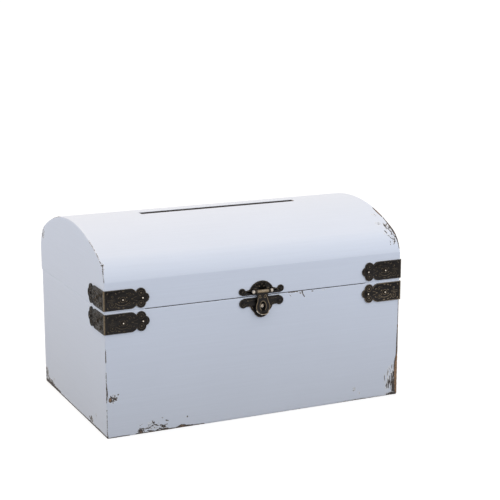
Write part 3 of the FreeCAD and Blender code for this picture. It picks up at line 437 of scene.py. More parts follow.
# Cracks: the face, the half width in millimetres, the strength and the points, as x and z on the front,
# y and z on the left side, x and y on the arch
CRACKS = (
    # Front, along the seam
    ("front", 0.9, 0.7, (33, 127.2), (38, 127), (43.5, 127.2)),
    ("front", 0.7, 0.62, (34.3, 124.4), (36.6, 122.7)),
    ("front", 0.9, 0.74, (48.7, 127.2), (49.4, 125), (49.8, 123.5), (51.8, 121)),
    ("front", 0.7, 0.64, (46.3, 125.8), (48.6, 125.2)), ("front", 0.8, 0.66, (59.8, 125.9), (61.8, 125.7)),
    # Front left corner
    ("front", 1.1, 0.74, (-164.9, 91), (-164.8, 84), (-164.9, 78)),
    ("front", 0.9, 0.6, (-164.9, 70), (-164.7, 58), (-164.2, 48), (-164.8, 43), (-164.9, 37)),
    ("front", 1.1, 0.78, (-164.4, 51), (-164, 46), (-164.8, 40)),
    ("front", 0.9, 0.74, (-160.6, 43.3), (-157.3, 40), (-154.4, 38.7)),
    ("front", 0.8, 0.7, (-158.5, 36), (-157.3, 40)),
    ("front", 0.8, 0.62, (-164.9, 30), (-164.8, 18), (-164.9, 6), (-164.2, 0.8)),
    # Front, along the bottom
    ("front", 0.9, 0.68, (-163, 0.4), (-152, 0.6), (-142, 0.5)),
    ("front", 1.1, 0.8, (-135, 0.5), (-120, 0.7), (-104, 0.6), (-97, 0.8), (-90, 0.5), (-72, 0.5),
     (-62, 0.4)),
    ("front", 0.7, 0.7, (-127.8, 5.1), (-122.5, 4.2), (-119, 6), (-115.4, 7.8), (-115.9, 10.8)),
    ("front", 0.8, 0.74, (-111.3, 6), (-115.4, 7.8), (-117.7, 12.2)),
    ("front", 0.8, 0.74, (-122.6, 2.5), (-114.3, 0.6), (-109.5, 2.8), (-106, 1.4), (-97.6, 0.8)),
    ("front", 0.8, 0.74, (-133.5, 3), (-131, 5.6), (-127.5, 5.2), (-126.2, 2)),
    ("front", 0.8, 0.7, (-109, 6.4), (-105, 5.2), (-101.6, 6.4)),
    ("front", 0.8, 0.7, (-103.4, 10.6), (-100.2, 9.5)),
    ("front", 0.7, 0.6, (-107.6, 13.1), (-105, 13.9)), ("front", 0.7, 0.6, (-131, 9), (-127, 10)),
    ("front", 1.0, 0.8, (-91.6, 0.9), (-86.5, 3), (-82, 1.6), (-74, 1)),
    # Front right corner
    ("front", 1.5, 0.8, (164.8, 112), (164.6, 96), (164.6, 78)),
    ("front", 2.0, 0.84, (164.6, 78), (164.2, 66), (164.0, 54), (163.6, 44)),
    # Right edge of the arch
    ("arch", 2.4, 0.92, (164.4, -47), (163.8, -57), (164.2, -65.5)),
    ("arch", 1.9, 0.82, (164.4, -69), (164.2, -76.5), (163.6, -87), (163.6, -93)),
    ("arch", 1.3, 0.72, (164, -94), (164.2, -98), (164.4, -102)),
    ("arch", 0.8, 0.68, (157.3, -80.4), (160.5, -80.2), (163.4, -78)),
    ("arch", 0.8, 0.7, (159, -76), (157.4, -83.3), (159.8, -87.4), (160.6, -93), (163, -96)),
    ("arch", 0.8, 0.66, (163.4, -83), (160, -86)), ("arch", 1.0, 0.72, (153.8, -88.8), (154.6, -91.6)),
    ("arch", 0.7, 0.62, (155.7, -93.8), (156.9, -96.3), (159.7, -97.5)),
    ("arch", 0.7, 0.62, (162, -90), (158.6, -94)),
    ("arch", 0.7, 0.62, (155.4, -98.2), (154.8, -100.4)),
    ("arch", 0.8, 0.68, (158.4, -100.2), (161.8, -98.4)),
    # Left edge of the arch, front and rear
    ("arch", 0.8, 0.56, (-164.8, -60), (-164.7, -74), (-164.6, -86), (-164.7, -95)),
    ("arch", 0.8, 0.64, (-164.4, -92), (-163.6, -97), (-164.6, -100.5), (-164.7, -102.9)),
    ("arch", 0.9, 0.62, (-164.7, 30), (-164.7, 60), (-164.7, 80), (-164.7, 96), (-164.7, 105)),
    # Left side, dark lines along the bottom and the rear edge
    ("left", 4.6, 0.76, (103, 1.4), (70, 1.2), (50, 0.6)),
    ("left", 2.6, 0.72, (50, 0.5), (10, 0.4), (-30, 0.5)),
    ("left", 2.8, 0.74, (-30, 0.5), (-46, 0.6), (-75, 0.8), (-102, 0.6)),
    ("left", 0.9, 0.74, (101, 16), (98.5, 12), (99.6, 6), (96, 1)),
    ("left", 0.8, 0.7, (92, 9), (88, 5), (90, 1.5)),
    ("left", 0.8, 0.7, (80, 5), (74, 3.4), (70, 5)), ("left", 0.9, 0.74, (-48, 7), (-53, 4.5), (-56, 9)),
    ("left", 0.8, 0.66, (-50, 1), (-53, 4.5), (-58, 3)),
    ("left", 0.9, 0.6, (102.6, 20), (102.6, 60), (102.7, 110)),
)

WEAR_FADE = 1.6  # Steepness with which wear fades towards the rim of a worn place
EDGE_STRIP = 1.6  # Millimetres in from an edge that are worn along it
CRACK_STEP = 2  # Millimetres between the points of a crack on the arch
CRACK_MARGIN = 2  # Millimetres round a board in which its cracks are looked for


def place_strength(places, point):
    """The strongest of the places at a point in millimetres."""
    best = 0.0
    for x, y, z, reach_x, reach_y, reach_z, strength in places:
        away = math.hypot((point.x - x) / reach_x, (point.y - y) / reach_y, (point.z - z) / reach_z)
        if away < 1:
            best = max(best, strength * min(1.0, WEAR_FADE * (1 - away)))
    return best


def crack_lines():
    """The cracks as half width, strength, points in the frame of the box, their middle and their reach."""
    lines = []
    for face, half, strength, *spots in CRACKS:
        points = [Vector(spots[0])]
        for spot in spots[1:]:
            steps = 1 + int((Vector(spot) - points[-1]).length / CRACK_STEP) if face == "arch" else 1
            points += [points[-1].lerp(Vector(spot), (i + 1) / steps) for i in range(steps)]
        if face == "front":
            points = [Vector((point.x, FRONT_Y / MM, point.y)) for point in points]
        elif face == "left":
            points = [Vector((-HALF_WIDTH / MM, point.x, point.y)) for point in points]
        else:
            points = [Vector((point.x, point.y, arch_height(point.y * MM) / MM)) for point in points]
        middle = sum(points, Vector()) / len(points)
        lines.append((half, strength, points, middle, max((point - middle).length for point in points)))
    return lines


def crack_strength(lines, point):
    """The strongest of the cracks at a point in millimetres."""
    best = 0.0
    for half, strength, points, middle, reach in lines:
        if (point - middle).length > reach + half:
            continue
        for start, end in zip(points, points[1:]):
            span = end - start
            share = min(1.0, max(0.0, (point - start).dot(span) / span.length_squared))
            away = (start + span * share - point).length / half
            if away < 1:
                best = max(best, strength * min(1.0, WEAR_FADE * (1 - away)))
    return best


def board_box(bm):
    """Lowest and highest x, y and z of a board in millimetres."""
    low = [min(vert.co[i] for vert in bm.verts) / MM for i in range(3)]
    high = [max(vert.co[i] for vert in bm.verts) / MM for i in range(3)]
    return low, high


def nearby_places(places, bm):
    """The places that reach a board."""
    low, high = board_box(bm)
    return [place for place in places
            if all(low[i] - place[i + 3] < place[i] < high[i] + place[i + 3] for i in range(3))]


def nearby_cracks(lines, bm):
    """The cracks that come close to a board."""
    low, high = board_box(bm)

    def close(point):
        return all(low[i] - CRACK_MARGIN < point[i] < high[i] + CRACK_MARGIN for i in range(3))

    return [line for line in lines if any(close(point) for point in line[2])]


def edge_wear(point):
    """Thin wear along the outer edges, heavier here and there."""
    side = HALF_WIDTH / MM - abs(point.x)
    rear = (REAR_Y if point.z < SEAM_Z / MM else LID_REAR_Y) / MM
    depth = min(point.y - FRONT_Y / MM, rear - point.y)
    under = depth if point.z < CREASE_Z / MM else below_arch(point.y * MM, point.z * MM) / MM
    away = max(0.0, min(max(side, under), max(point.z, min(side, depth))))
    if away > EDGE_STRIP:
        return 0.0
    # Patches about 23 mm long, broken up every 7 mm
    patchy = 0.5 + 0.5 * noise.noise(point / 23) + 0.25 * noise.noise(point / 7)
    return max(0.0, 0.1 + 0.42 * patchy) * (1 - away / EDGE_STRIP)


def into_the_wood(point):
    """The direction from the outside of the box into its boards."""
    low = Vector((-HALF_WIDTH + WALL, FRONT_Y + WALL, WALL))
    high = Vector((HALF_WIDTH - WALL, REAR_Y - WALL, CREASE_Z))
    core = Vector(min(max(point[i], low[i]), high[i]) for i in range(3))
    return (core - point).normalized()


# Mesh helpers

SAME_PLACE = 0.02 * MM  # Points closer than this count as one
MERGE_GAP = 0.002 * MM  # Doubles closer than this are merged
SPIN_GAP = 0.005 * MM  # The same, round the poles of a turned shape
WIRE_GAP = 0.001 * MM  # The same, along the wire of the arch
SHARP_ANGLE = math.radians(50)  # Edges sharper than this can be rounded
GRID_MARGIN = 0.3 * MM  # No mesh line comes closer to the end of a board


def make_piece(name, bm, material, body, nodes, smooth=35):
    """Turns a bmesh into a named piece that rides on a body and stands for its nodes."""
    mesh = bpy.data.meshes.new(name)
    for face in bm.faces:
        face.smooth = True
    bm.to_mesh(mesh)
    bm.free()
    mesh.set_sharp_from_angle(angle=math.radians(smooth))
    mesh.materials.append(material)
    piece = bpy.data.objects.new(name, mesh)
    bpy.context.scene.collection.objects.link(piece)
    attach(piece, body)
    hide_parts(*nodes)
    return piece


def box_mesh(low, high):
    """A plain block between two corners."""
    bm = bmesh.new()
    bmesh.ops.create_cube(bm, size=1.0)
    low, high = Vector(low), Vector(high)
    bmesh.ops.scale(bm, vec=high - low, verts=bm.verts)
    bmesh.ops.translate(bm, vec=(low + high) / 2, verts=bm.verts)
    return bm


def close_shape(bm, before, gap):
    """Merges the doubles of a new shape, turns its faces outwards and gives its vertices."""
    bmesh.ops.remove_doubles(bm, verts=[vert for vert in bm.verts if vert not in before], dist=gap)
    made = [vert for vert in bm.verts if vert not in before]
    faces = dict.fromkeys(face for vert in made for face in vert.link_faces)
    bmesh.ops.recalc_face_normals(bm, faces=list(faces))
    return made


def turned(bm, profile, start, axis, steps=24):
    """Spins a profile of (height, radius) pairs about an axis."""
    axis = Vector(axis).normalized()
    side = axis.orthogonal().normalized()
    before = set(bm.verts)
    verts = [bm.verts.new(Vector(start) + axis * height + side * radius) for height, radius in profile]
    edges = [bm.edges.new(pair) for pair in zip(verts, verts[1:])]
    bmesh.ops.spin(bm, geom=verts + edges, cent=start, axis=axis, dvec=(0, 0, 0), angle=math.tau,
                   steps=steps, use_merge=True, use_duplicate=False)
    return close_shape(bm, before, SPIN_GAP)


def carve(bm, cutter):
    """Takes the cutter's shape out of a piece."""
    pair = []
    for source in (bm, cutter):
        mesh = bpy.data.meshes.new("carving")
        source.to_mesh(mesh)
        pair.append(bpy.data.objects.new("carving", mesh))
        bpy.context.scene.collection.objects.link(pair[-1])
    cutter.free()
    cut = pair[0].modifiers.new("carve", "BOOLEAN")
    cut.object = pair[1]
    cut.operation = "DIFFERENCE"
    cut.solver = "EXACT"
    graph = bpy.context.evaluated_depsgraph_get()
    result = bpy.data.meshes.new_from_object(pair[0].evaluated_get(graph))
    bm.clear()
    bm.from_mesh(result)
    bpy.data.meshes.remove(result)
    for item in pair:
        mesh = item.data
        bpy.data.objects.remove(item)
        bpy.data.meshes.remove(mesh)


def cut_plane(bm, point, normal):
    """Cuts mesh lines where a plane crosses a piece."""
    bmesh.ops.bisect_plane(bm, geom=bm.verts[:] + bm.edges[:] + bm.faces[:], dist=1e-7,
                           plane_co=point, plane_no=normal)


def rule_grid(bm, step):
    """Cuts mesh lines across a piece, so that its worn edges can follow the wear."""
    for axis in range(3):
        low = min(vert.co[axis] for vert in bm.verts)
        high = max(vert.co[axis] for vert in bm.verts)
        normal = Vector((0, 0, 0))
        normal[axis] = 1
        line = math.floor(low / step) + 1
        while line * step < high - GRID_MARGIN:
            if line * step > low + GRID_MARGIN:
                cut_plane(bm, normal * line * step, normal)
            line += 1


def sharp_edges(bm, test):
    """The sharp edges whose middle passes a test."""
    found = []
    for edge in bm.edges:
        if len(edge.link_faces) == 2 and edge.calc_face_angle() > SHARP_ANGLE:
            if test((edge.verts[0].co + edge.verts[1].co) / 2):
                found.append(edge)
    return found


def round_edges(bm, edges, radius, segments):
    """Rounds edges by a radius."""
    bmesh.ops.bevel(bm, geom=edges, offset=radius, offset_type="OFFSET", affect="EDGES", segments=segments,
                    profile=0.5, material=-1, clamp_overlap=True)


def near(value, *targets):
    """Whether a length is at one of the targets."""
    return any(abs(value - target) < SAME_PLACE for target in targets)


# Painted boards

BED_RUN = 6 * MM  # Length over which the seam closes towards the sides
BED_DEPTH = 4 * MM  # Height of the boards that gives way for that
RIM_STRIP = 3.5 * MM  # Outer strip of a rim or ledge that paint or stain has reached; the stain in the front of the seam is painted shade
FLAT = 0.9  # Upright share of the normal from which a face counts as level
SHADE_STAIN_LEVEL = 0.34  # Share of bareness at which the wood shows its dark stain, used as painted shade in the front of the seam and in the slot walls
FINE_EDGE = 1.2 * MM  # Longer mesh lines are cut finer in worn places
FINE_WEAR = 0.3  # Strength of a worn place from which the mesh is cut finer
FINE_CRACK = 0.05  # The same for a crack
CRACK_ROOM = 2.2  # Millimetres round a crack that are cut finer
ARCH_SAG = 0.06 * MM  # Points less than this under the arch lie on its flat facets
PANEL_CUTS = 109  # Mesh lines across the bent panel, 3 mm apart
BOTTOM_PLAY = 0.2 * MM  # Round the bottom board
GAIN_PLAY = 0.15 * MM  # Round the leaf of a hinge
GAIN_DEPTH = 1.35 * MM  # Floor of a hinge gain from the middle of the seam
KNUCKLE_RADIUS = 2.2 * MM
KNUCKLE_ROOM = 0.3 * MM  # Round the knuckles of a hinge, and where its gain runs out behind
KNUCKLE_STEPS = 32


def outer_corner(point):
    """Whether an edge lies on two outer faces of the box, away from the seam."""
    rear = REAR_Y if point.z < SEAM_Z else LID_REAR_Y
    return near(abs(point.x), HALF_WIDTH) + near(point.y, FRONT_Y, rear) + near(point.z, 0.0) >= 2


def heel_edge(point):
    """Whether an edge is the heel of the lid, which comes down on the rear board when the lid is open."""
    return near(point.y, LID_REAR_Y) and near(point.z, LID_LOW.z)


def seam_edge(point):
    """Whether an edge lies along the outside of the seam."""
    outside = abs(point.x) > HALF_WIDTH - MM or point.y < FRONT_Y + MM or point.y > REAR_Y - MM
    return outside and near(point.z, BASE_HIGH.z, LID_LOW.z) and not heel_edge(point)


def bed_seam(bm):
    """Closes the seam at the sides and behind the brackets, where the lid beds down on the base."""
    lift = (SEAM_GAP - bpy.context.scene.card_box_sizes.side_seam) / 2
    for vert in bm.verts:
        away = abs(vert.co.z - SEAM_Z) - SEAM_GAP / 2
        if away < BED_DEPTH and abs(vert.co.x) > BED_X:
            share = min(1.0, (abs(vert.co.x) - BED_X) / BED_RUN) * max(0.0, 1 - max(0.0, away) / BED_DEPTH)
            vert.co.z += lift * share * (1 if vert.co.z < SEAM_Z else -1)


def refine(bm, worn_places, cracks):
    """Cuts the mesh finer at the worn places, so that chips and cracks can follow them."""
    wide = [(half + CRACK_ROOM, *rest) for half, *rest in cracks]
    worn = set()
    for face in bm.faces:
        point = face.calc_center_median() / MM
        if crack_strength(wide, point) > FINE_CRACK or place_strength(worn_places, point) > FINE_WEAR:
            worn.add(face)
    fine = [edge for edge in bm.edges
            if edge.calc_length() > FINE_EDGE and any(face in worn for face in edge.link_faces)]
    bmesh.ops.subdivide_edges(bm, edges=fine, cuts=3, use_grid_fill=True)


def raise_to_arch(bm):
    """Brings points that lie just under the arch, on its flat facets, up to its curve."""
    for vert in bm.verts:
        sunk = below_arch(vert.co.y, vert.co.z) if vert.co.z > CREASE_Z else 0.0
        if 0 < sunk < ARCH_SAG:
            centre, radius = arch_centre(vert.co.y, vert.co.z)
            out = (Vector((vert.co.y, vert.co.z)) - centre).normalized()
            vert.co += Vector((0, out.x, out.y)) * sunk


def wear_board(bm):
    """Chips the worn edges and keeps how worn each point is."""
    depth = bpy.context.scene.card_box_sizes.chip_depth
    worn_places = nearby_places(WORN_PLACES, bm)
    scraped_places = nearby_places(SCRAPED_PLACES, bm)
    cracks = nearby_cracks(crack_lines(), bm)
    refine(bm, worn_places, cracks)
    raise_to_arch(bm)
    chips = bm.verts.layers.float.new("chips")
    scrapes = bm.verts.layers.float.new("scrapes")
    for vert in bm.verts:
        point = vert.co / MM
        worn = max(place_strength(worn_places, point), crack_strength(cracks, point), edge_wear(point))
        vert[chips] = worn
        vert[scrapes] = place_strength(scraped_places, point)
        # Wear from 0.4 on bites into the wood, unevenly over 2.3 mm
        bite = min(1.0, max(0.0, worn - 0.4) / 0.6)
        if bite > 0:
            rough = 0.5 + 0.5 * noise.noise(point / 2.3)
            vert.co += into_the_wood(vert.co) * depth * bite * rough


def bare_inside(bm, test):
    """Leaves faces as bare wood, as far as a test says; a lower share gives the dark stain that paints
    shade in the seam and the slot.
    """
    inside = bm.faces.layers.float.new("inside")
    for face in bm.faces:
        face[inside] = test(face.calc_center_median(), face.normal)


def in_box(point, normal):
    """How bare a face is that looks into the box, lies in the seam or lies under the box; the front strip
    of the seam gets the dark stain as painted shade in the gap.
    """
    room = 0.1 * MM
    level = abs(normal.z) > FLAT
    rear = REAR_Y if point.z < SEAM_Z else LID_REAR_Y
    depth = min(point.y - FRONT_Y, rear - point.y)
    if abs(point.z - SEAM_Z) < SEAM_GAP and level:
        # Painted shade: the front strip of the seam is dark with stain, for the shade in the gap; paint
        # where the lid beds down
        shaded_front_seam = point.y < FRONT_Y + RIM_STRIP and abs(point.x) < BED_X
        outer = min(HALF_WIDTH - abs(point.x), depth) < RIM_STRIP
        return SHADE_STAIN_LEVEL if shaded_front_seam else float(not outer)
    in_width = abs(point.x) < HALF_WIDTH - WALL + room
    in_depth = point.z > CREASE_Z or depth > WALL - room
    looks_in = Vector((point.x, point.y, 0)).dot(normal) < 0
    ledge = near(point.z, CREASE_Z) and depth > RIM_STRIP
    below = point.z < BOTTOM_HIGH.z + room
    return float((in_width and in_depth and looks_in) or (level and (ledge or below)))


def painted_board(name, bm, body, node, arrises):
    """Grids, rounds and wears a board, and makes it a painted piece."""
    sizes = bpy.context.scene.card_box_sizes
    rule_grid(bm, sizes.grid)
    round_edges(bm, sharp_edges(bm, arrises), sizes.edge_round, 3)
    round_edges(bm, sharp_edges(bm, seam_edge), sizes.seam_round, 2)
    bmesh.ops.dissolve_degenerate(bm, edges=bm.edges, dist=MERGE_GAP)
    bed_seam(bm)
    wear_board(bm)
    bare_inside(bm, in_box)
    across = name.startswith(("left", "right"))
    return make_piece(name, bm, milk_paint(across), body, [node])


def carve_gains(bm, up):
    """Lets both hinges into a board below the seam, where up is 1, or above it, where up is -1."""
    foot, top = sorted((SEAM_Z - up * GAIN_DEPTH, SEAM_Z + up * MM))
    for side in ("left", "right"):
        low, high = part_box(f"hinge_{side}_base_leaf")
        start = low.x - GAIN_PLAY
        end = high.x + GAIN_PLAY
        leaf = box_mesh((start, low.y - GAIN_PLAY, foot), (end, REAR_Y + KNUCKLE_ROOM, top))
        groove = bmesh.new()
        room = KNUCKLE_RADIUS + KNUCKLE_ROOM
        turned(groove, [(0, 0), (0, room), (end - start, room), (end - start, 0)],
               (start, high.y - KNUCKLE_RADIUS, SEAM_Z), (1, 0, 0), KNUCKLE_STEPS)
        carve(bm, leaf)
        carve(bm, groove)


def arched_end(low, high):
    """An end board of the lid, under the bent panel."""
    bm = bmesh.new()
    first, last = arch_wire(bm, low.x, bpy.context.scene.card_box_sizes.panel_thickness)
    outline = [bm.verts.new((low.x, y, z)) for y, z in (
        (LID_REAR_Y, CREASE_Z), (LID_REAR_Y, low.z), (FRONT_Y, low.z), (FRONT_Y, CREASE_Z))]
    for pair in zip([last] + outline, outline + [first]):
        bm.edges.new(pair)
    bmesh.ops.remove_doubles(bm, verts=bm.verts, dist=WIRE_GAP)
    bmesh.ops.contextual_create(bm, geom=bm.edges[:])
    made = bmesh.ops.extrude_face_region(bm, geom=bm.faces[:])
    bmesh.ops.translate(bm, vec=(high.x - low.x, 0, 0), verts=made_verts(made["geom"]))
    bmesh.ops.recalc_face_normals(bm, faces=bm.faces)
    return bm


def slotted_arch(slot_low, slot_high):
    """The bent panel with the card slot cut through."""
    bm = bmesh.new()
    arch_wire(bm, -HALF_WIDTH, 0)
    bmesh.ops.remove_doubles(bm, verts=bm.verts, dist=WIRE_GAP)
    made = bmesh.ops.extrude_edge_only(bm, edges=bm.edges[:])
    bmesh.ops.translate(bm, vec=(2 * HALF_WIDTH, 0, 0), verts=made_verts(made["geom"]))
    long_edges = [edge for edge in bm.edges if edge.calc_length() > HALF_WIDTH]
    bmesh.ops.subdivide_edges(bm, edges=long_edges, cuts=PANEL_CUTS, use_grid_fill=True)
    for corner in (slot_low, slot_high):
        for normal in (Vector((1, 0, 0)), Vector((0, 1, 0))):
            cut_plane(bm, corner, normal)
    opening = []
    for face in bm.faces:
        middle = face.calc_center_median()
        if slot_low.x < middle.x < slot_high.x and slot_low.y < middle.y < slot_high.y:
            opening.append(face)
    bmesh.ops.delete(bm, geom=opening, context="FACES")
    bmesh.ops.recalc_face_normals(bm, faces=bm.faces)
    if sum(face.normal.z for face in bm.faces) < 0:
        bmesh.ops.reverse_faces(bm, faces=bm.faces)
    bmesh.ops.solidify(bm, geom=bm.faces[:], thickness=bpy.context.scene.card_box_sizes.panel_thickness)
    bmesh.ops.recalc_face_normals(bm, faces=bm.faces)
    for vert in bm.verts:
        vert.co.z = max(vert.co.z, CREASE_Z)
    return bm


class CARDBOX_OT_base_boards(bpy.types.Operator):
    """Four walls and the bottom board of the base"""

    bl_idname = "card_box.base_boards"
    bl_label = "Base Boards"

    def execute(self, context):
        recess_low = (-BOTTOM_HIGH.x - BOTTOM_PLAY, -BOTTOM_HIGH.y - BOTTOM_PLAY, -MM)
        recess_high = (BOTTOM_HIGH.x + BOTTOM_PLAY, BOTTOM_HIGH.y + BOTTOM_PLAY, BOTTOM_HIGH.z)
        for side in ("front", "rear", "left", "right"):
            node = f"base_{side}_panel"
            bm = box_mesh(*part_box(node))
            carve(bm, box_mesh(recess_low, recess_high))
            if side == "rear":
                carve_gains(bm, 1)
            painted_board(f"{side}_board", bm, "base", node, outer_corner)
        bm = box_mesh(*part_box("base_bottom_panel"))
        painted_board("bottom_board", bm, "base", "base_bottom_panel", lambda point: False)
        return {"FINISHED"}


class CARDBOX_OT_lid_frame(bpy.types.Operator):
    """Rails and arched ends of the lid"""

    bl_idname = "card_box.lid_frame"
    bl_label = "Lid Rails and Ends"

    def execute(self, context):
        heel = context.scene.card_box_sizes.heel_round
        for side in ("front", "rear"):
            node = f"lid_{side}_rail"
            bm = box_mesh(*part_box(node))
            if side == "rear":
                round_edges(bm, sharp_edges(bm, heel_edge), heel, 3)
                carve_gains(bm, -1)
            painted_board(f"{side}_rail", bm, "lid", node, outer_corner)
        for side in ("left", "right"):
            node = f"lid_{side}_end"
            bm = arched_end(*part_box(node))
            round_edges(bm, sharp_edges(bm, heel_edge), heel, 3)
            painted_board(f"{side}_end", bm, "lid", node, outer_corner)
        return {"FINISHED"}


class CARDBOX_OT_lid_panel(bpy.types.Operator):
    """Bent panel over the arch, with the card slot"""

    bl_idname = "card_box.lid_panel"
    bl_label = "Bent Lid Panel"

    def execute(self, context):
        sizes = context.scene.card_box_sizes
        slot_low = Vector((sizes.slot_shift - sizes.slot_length / 2, RIDGE_Y - sizes.slot_width / 2, 0))
        slot_high = Vector((sizes.slot_shift + sizes.slot_length / 2, RIDGE_Y + sizes.slot_width / 2, 0))
        skin = 0.1 * MM
        slot_depth = 5 * MM

        def arris(point):
            return near(abs(point.x), HALF_WIDTH) and below_arch(point.y, point.z) < skin

        def slot_edge(point):
            by_slot = near(point.x, slot_low.x, slot_high.x) or near(point.y, slot_low.y, slot_high.y)
            return by_slot and abs(point.x) < HALF_WIDTH - MM and below_arch(point.y, point.z) < skin

        def cut_face(point, normal):
            if normal.z < -0.01:
                return 1.0
            # Painted shade: the walls of the slot are dark with the stain colour, for the shade inside the
            # slot
            upright = abs(normal.z) < 0.3
            shaded_slot_wall = upright and abs(point.x) < HALF_WIDTH - MM and point.z > TOP_Z - slot_depth
            return SHADE_STAIN_LEVEL if shaded_slot_wall else 0.0

        bm = slotted_arch(slot_low, slot_high)
        round_edges(bm, sharp_edges(bm, arris), sizes.edge_round, 3)
        round_edges(bm, sharp_edges(bm, slot_edge), sizes.seam_round, 2)
        wear_board(bm)
        bare_inside(bm, cut_face)
        make_piece("bent_panel", bm, milk_paint(), "lid", ["lid_top_panel"])
        return {"FINISHED"}


# Stamped fittings

FRONT_SKIN = 0.05 * MM  # A face this close to a level counts as the front of a plate
FIELD_SLOPE = 0.3 * MM  # Width of the slope between the rim and the field of a plate
STROKE_LIFT = 0.05 * MM  # Middle of the strokes above the field
DROP_RISE = 0.45 * MM  # Half thickness of a leaf drop
BEND_ROUND = 0.5 * MM  # Rounding of the bend of a bracket
RIM_ROUND = 0.2 * MM  # Rounding of the outline of a plate
RUB_START = 0.85  # Handling rubs what stands out further than this, in millimetres
RUB_RISE = 0.4  # Millimetres from there to the full rub
BEND_REACH = 1.6  # Millimetres from the bend of a bracket over which its rub fades


def node_copy(node):
    """A merged copy of a node's mesh, with its flat faces whole."""
    bm = bmesh.new()
    bm.from_mesh(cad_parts[node].data)
    bmesh.ops.remove_doubles(bm, verts=bm.verts, dist=MERGE_GAP)
    bmesh.ops.dissolve_limit(bm, angle_limit=math.radians(1), use_dissolve_boundaries=False, verts=bm.verts,
                             edges=bm.edges, delimit=set())
    return bm


def stamp_field(bm, outward, level):
    """Presses the field of a flat plate down, so that a rim stands round it."""
    sizes = bpy.context.scene.card_box_sizes
    outward = Vector(outward)
    field = []
    for face in bm.faces:
        away = abs(face.calc_center_median().dot(outward) - level)
        if face.normal.dot(outward) > 0.999 and away < FRONT_SKIN:
            field.append(face)
    if not field:
        raise RuntimeError("the plate has no flat face to stamp")
    for width, depth in ((sizes.rim_width, 0.0), (FIELD_SLOPE, -sizes.stamp_depth)):
        bmesh.ops.inset_region(bm, faces=field, thickness=width, depth=depth, use_even_offset=True,
                               use_boundary=True)


def volute(across, up, radius, start, turns, thick=0.4):
    """Points of a scroll that winds in, in millimetres: across, up and thickness."""
    count = 5 + int(12 * abs(turns))
    points = []
    for i in range(count):
        share = i / (count - 1)
        angle = math.radians(start) + math.tau * turns * share
        # At its inner end the scroll has a fifth of its radius and seven tenths of its thickness
        reach = radius * (1 - 0.8 * share)
        slim = thick * (1 - 0.3 * share)
        points.append((across + reach * math.cos(angle), up + reach * math.sin(angle), slim))
    return points


def oval(across, up, half_width, half_height, thick, steps):
    """Points of a closed oval."""
    points = []
    for i in range(steps + 1):
        angle = math.tau * i / steps
        points.append((across + half_width * math.cos(angle), up + half_height * math.sin(angle), thick))
    return points


def ring(across, up, radius, thick=0.35):
    """Points of a closed ring."""
    return oval(across, up, radius, radius, thick, 12)


def both_halves(strokes):
    """The strokes and their mirror image below the middle line."""
    return strokes + [[(across, -up, thick) for across, up, thick in stroke] for stroke in strokes]


def both_sides(strokes):
    """The strokes and their mirror image left of the middle line."""
    return strokes + [[(-across, up, thick) for across, up, thick in stroke] for stroke in strokes]


def lay_strokes(bm, strokes, place):
    """Raises strokes from a stamped field."""
    curve = bpy.data.curves.new("strokes", "CURVE")
    curve.dimensions = "3D"
    curve.bevel_depth = MM
    curve.bevel_resolution = 2
    curve.resolution_u = 5
    curve.use_fill_caps = True
    for stroke in strokes:
        closed = (Vector(stroke[0]) - Vector(stroke[-1])).length < 1e-6
        spots = stroke[:-1] if closed else stroke
        spline = curve.splines.new("NURBS")
        spline.points.add(len(spots) - 1)
        for point, (across, up, thick) in zip(spline.points, spots):
            point.co = (across * MM, up * MM, 0, 1)
            point.radius = thick
        spline.order_u = 3
        spline.use_cyclic_u = closed
        spline.use_endpoint_u = not closed
    item = bpy.data.objects.new("strokes", curve)
    bpy.context.scene.collection.objects.link(item)
    graph = bpy.context.evaluated_depsgraph_get()
    mesh = bpy.data.meshes.new_from_object(item.evaluated_get(graph))
    mesh.transform(place)
    before = set(bm.verts)
    bm.from_mesh(mesh)
    close_shape(bm, before, MERGE_GAP)
    bpy.data.objects.remove(item)
    bpy.data.curves.remove(curve)
    bpy.data.meshes.remove(mesh)


def lay_drops(bm, drops, place):
    """Raises leaf drops from a stamped field: across, up, length, width and turn."""
    made = bmesh.new()
    for across, up, length, width, turn in drops:
        shape = (Matrix.Translation((across * MM, up * MM, 0)) @ Matrix.Rotation(math.radians(turn), 4, "Z")
                 @ Matrix.Diagonal((length * MM, width * MM, DROP_RISE, 1)))
        bmesh.ops.create_uvsphere(made, u_segments=12, v_segments=8, radius=1.0, matrix=place @ shape)
    bmesh.ops.recalc_face_normals(made, faces=made.faces)
    mesh = bpy.data.meshes.new("drops")
    made.to_mesh(mesh)
    made.free()
    bm.from_mesh(mesh)
    bpy.data.meshes.remove(mesh)


def fitting_frame(corner, across, up, outward):
    """A matrix from the sizes of a fitting to the box: across, up and out of its face."""
    place = Matrix.Identity(4)
    for column, axis in enumerate((across, up, outward)):
        place.col[column][:3] = axis
    place.translation = corner
    return place


def plate_frame(corner, across, outward):
    """The frame of a stamped plate, at its field."""
    field = PLATE - bpy.context.scene.card_box_sizes.stamp_depth + STROKE_LIFT
    return fitting_frame(Vector(corner) + Vector(outward) * field, across, (0, 0, 1), outward)


def keep_even_rub(bm, level):
    """Keeps one level of rubbing all over a piece."""
    rub = bm.verts.layers.float.new("rub")
    for vert in bm.verts:
        vert[rub] = level


def keep_rub(bm, first, level, bend=0.0):
    """Keeps how far handling has rubbed the points from the first on: what stands out, and a bend."""
    rub = bm.verts.layers.float.get("rub") or bm.verts.layers.float.new("rub")
    for vert in list(bm.verts)[first:]:
        out = max(abs(vert.co.x) - HALF_WIDTH, FRONT_Y - vert.co.y) / MM
        height = min(1.0, max(0.0, (out - RUB_START) / RUB_RISE))
        corner = max(HALF_WIDTH + PLATE - abs(vert.co.x), vert.co.y - FRONT_Y + PLATE) / MM
        vert[rub] = level * height + bend * max(0.0, 1 - corner / BEND_REACH)


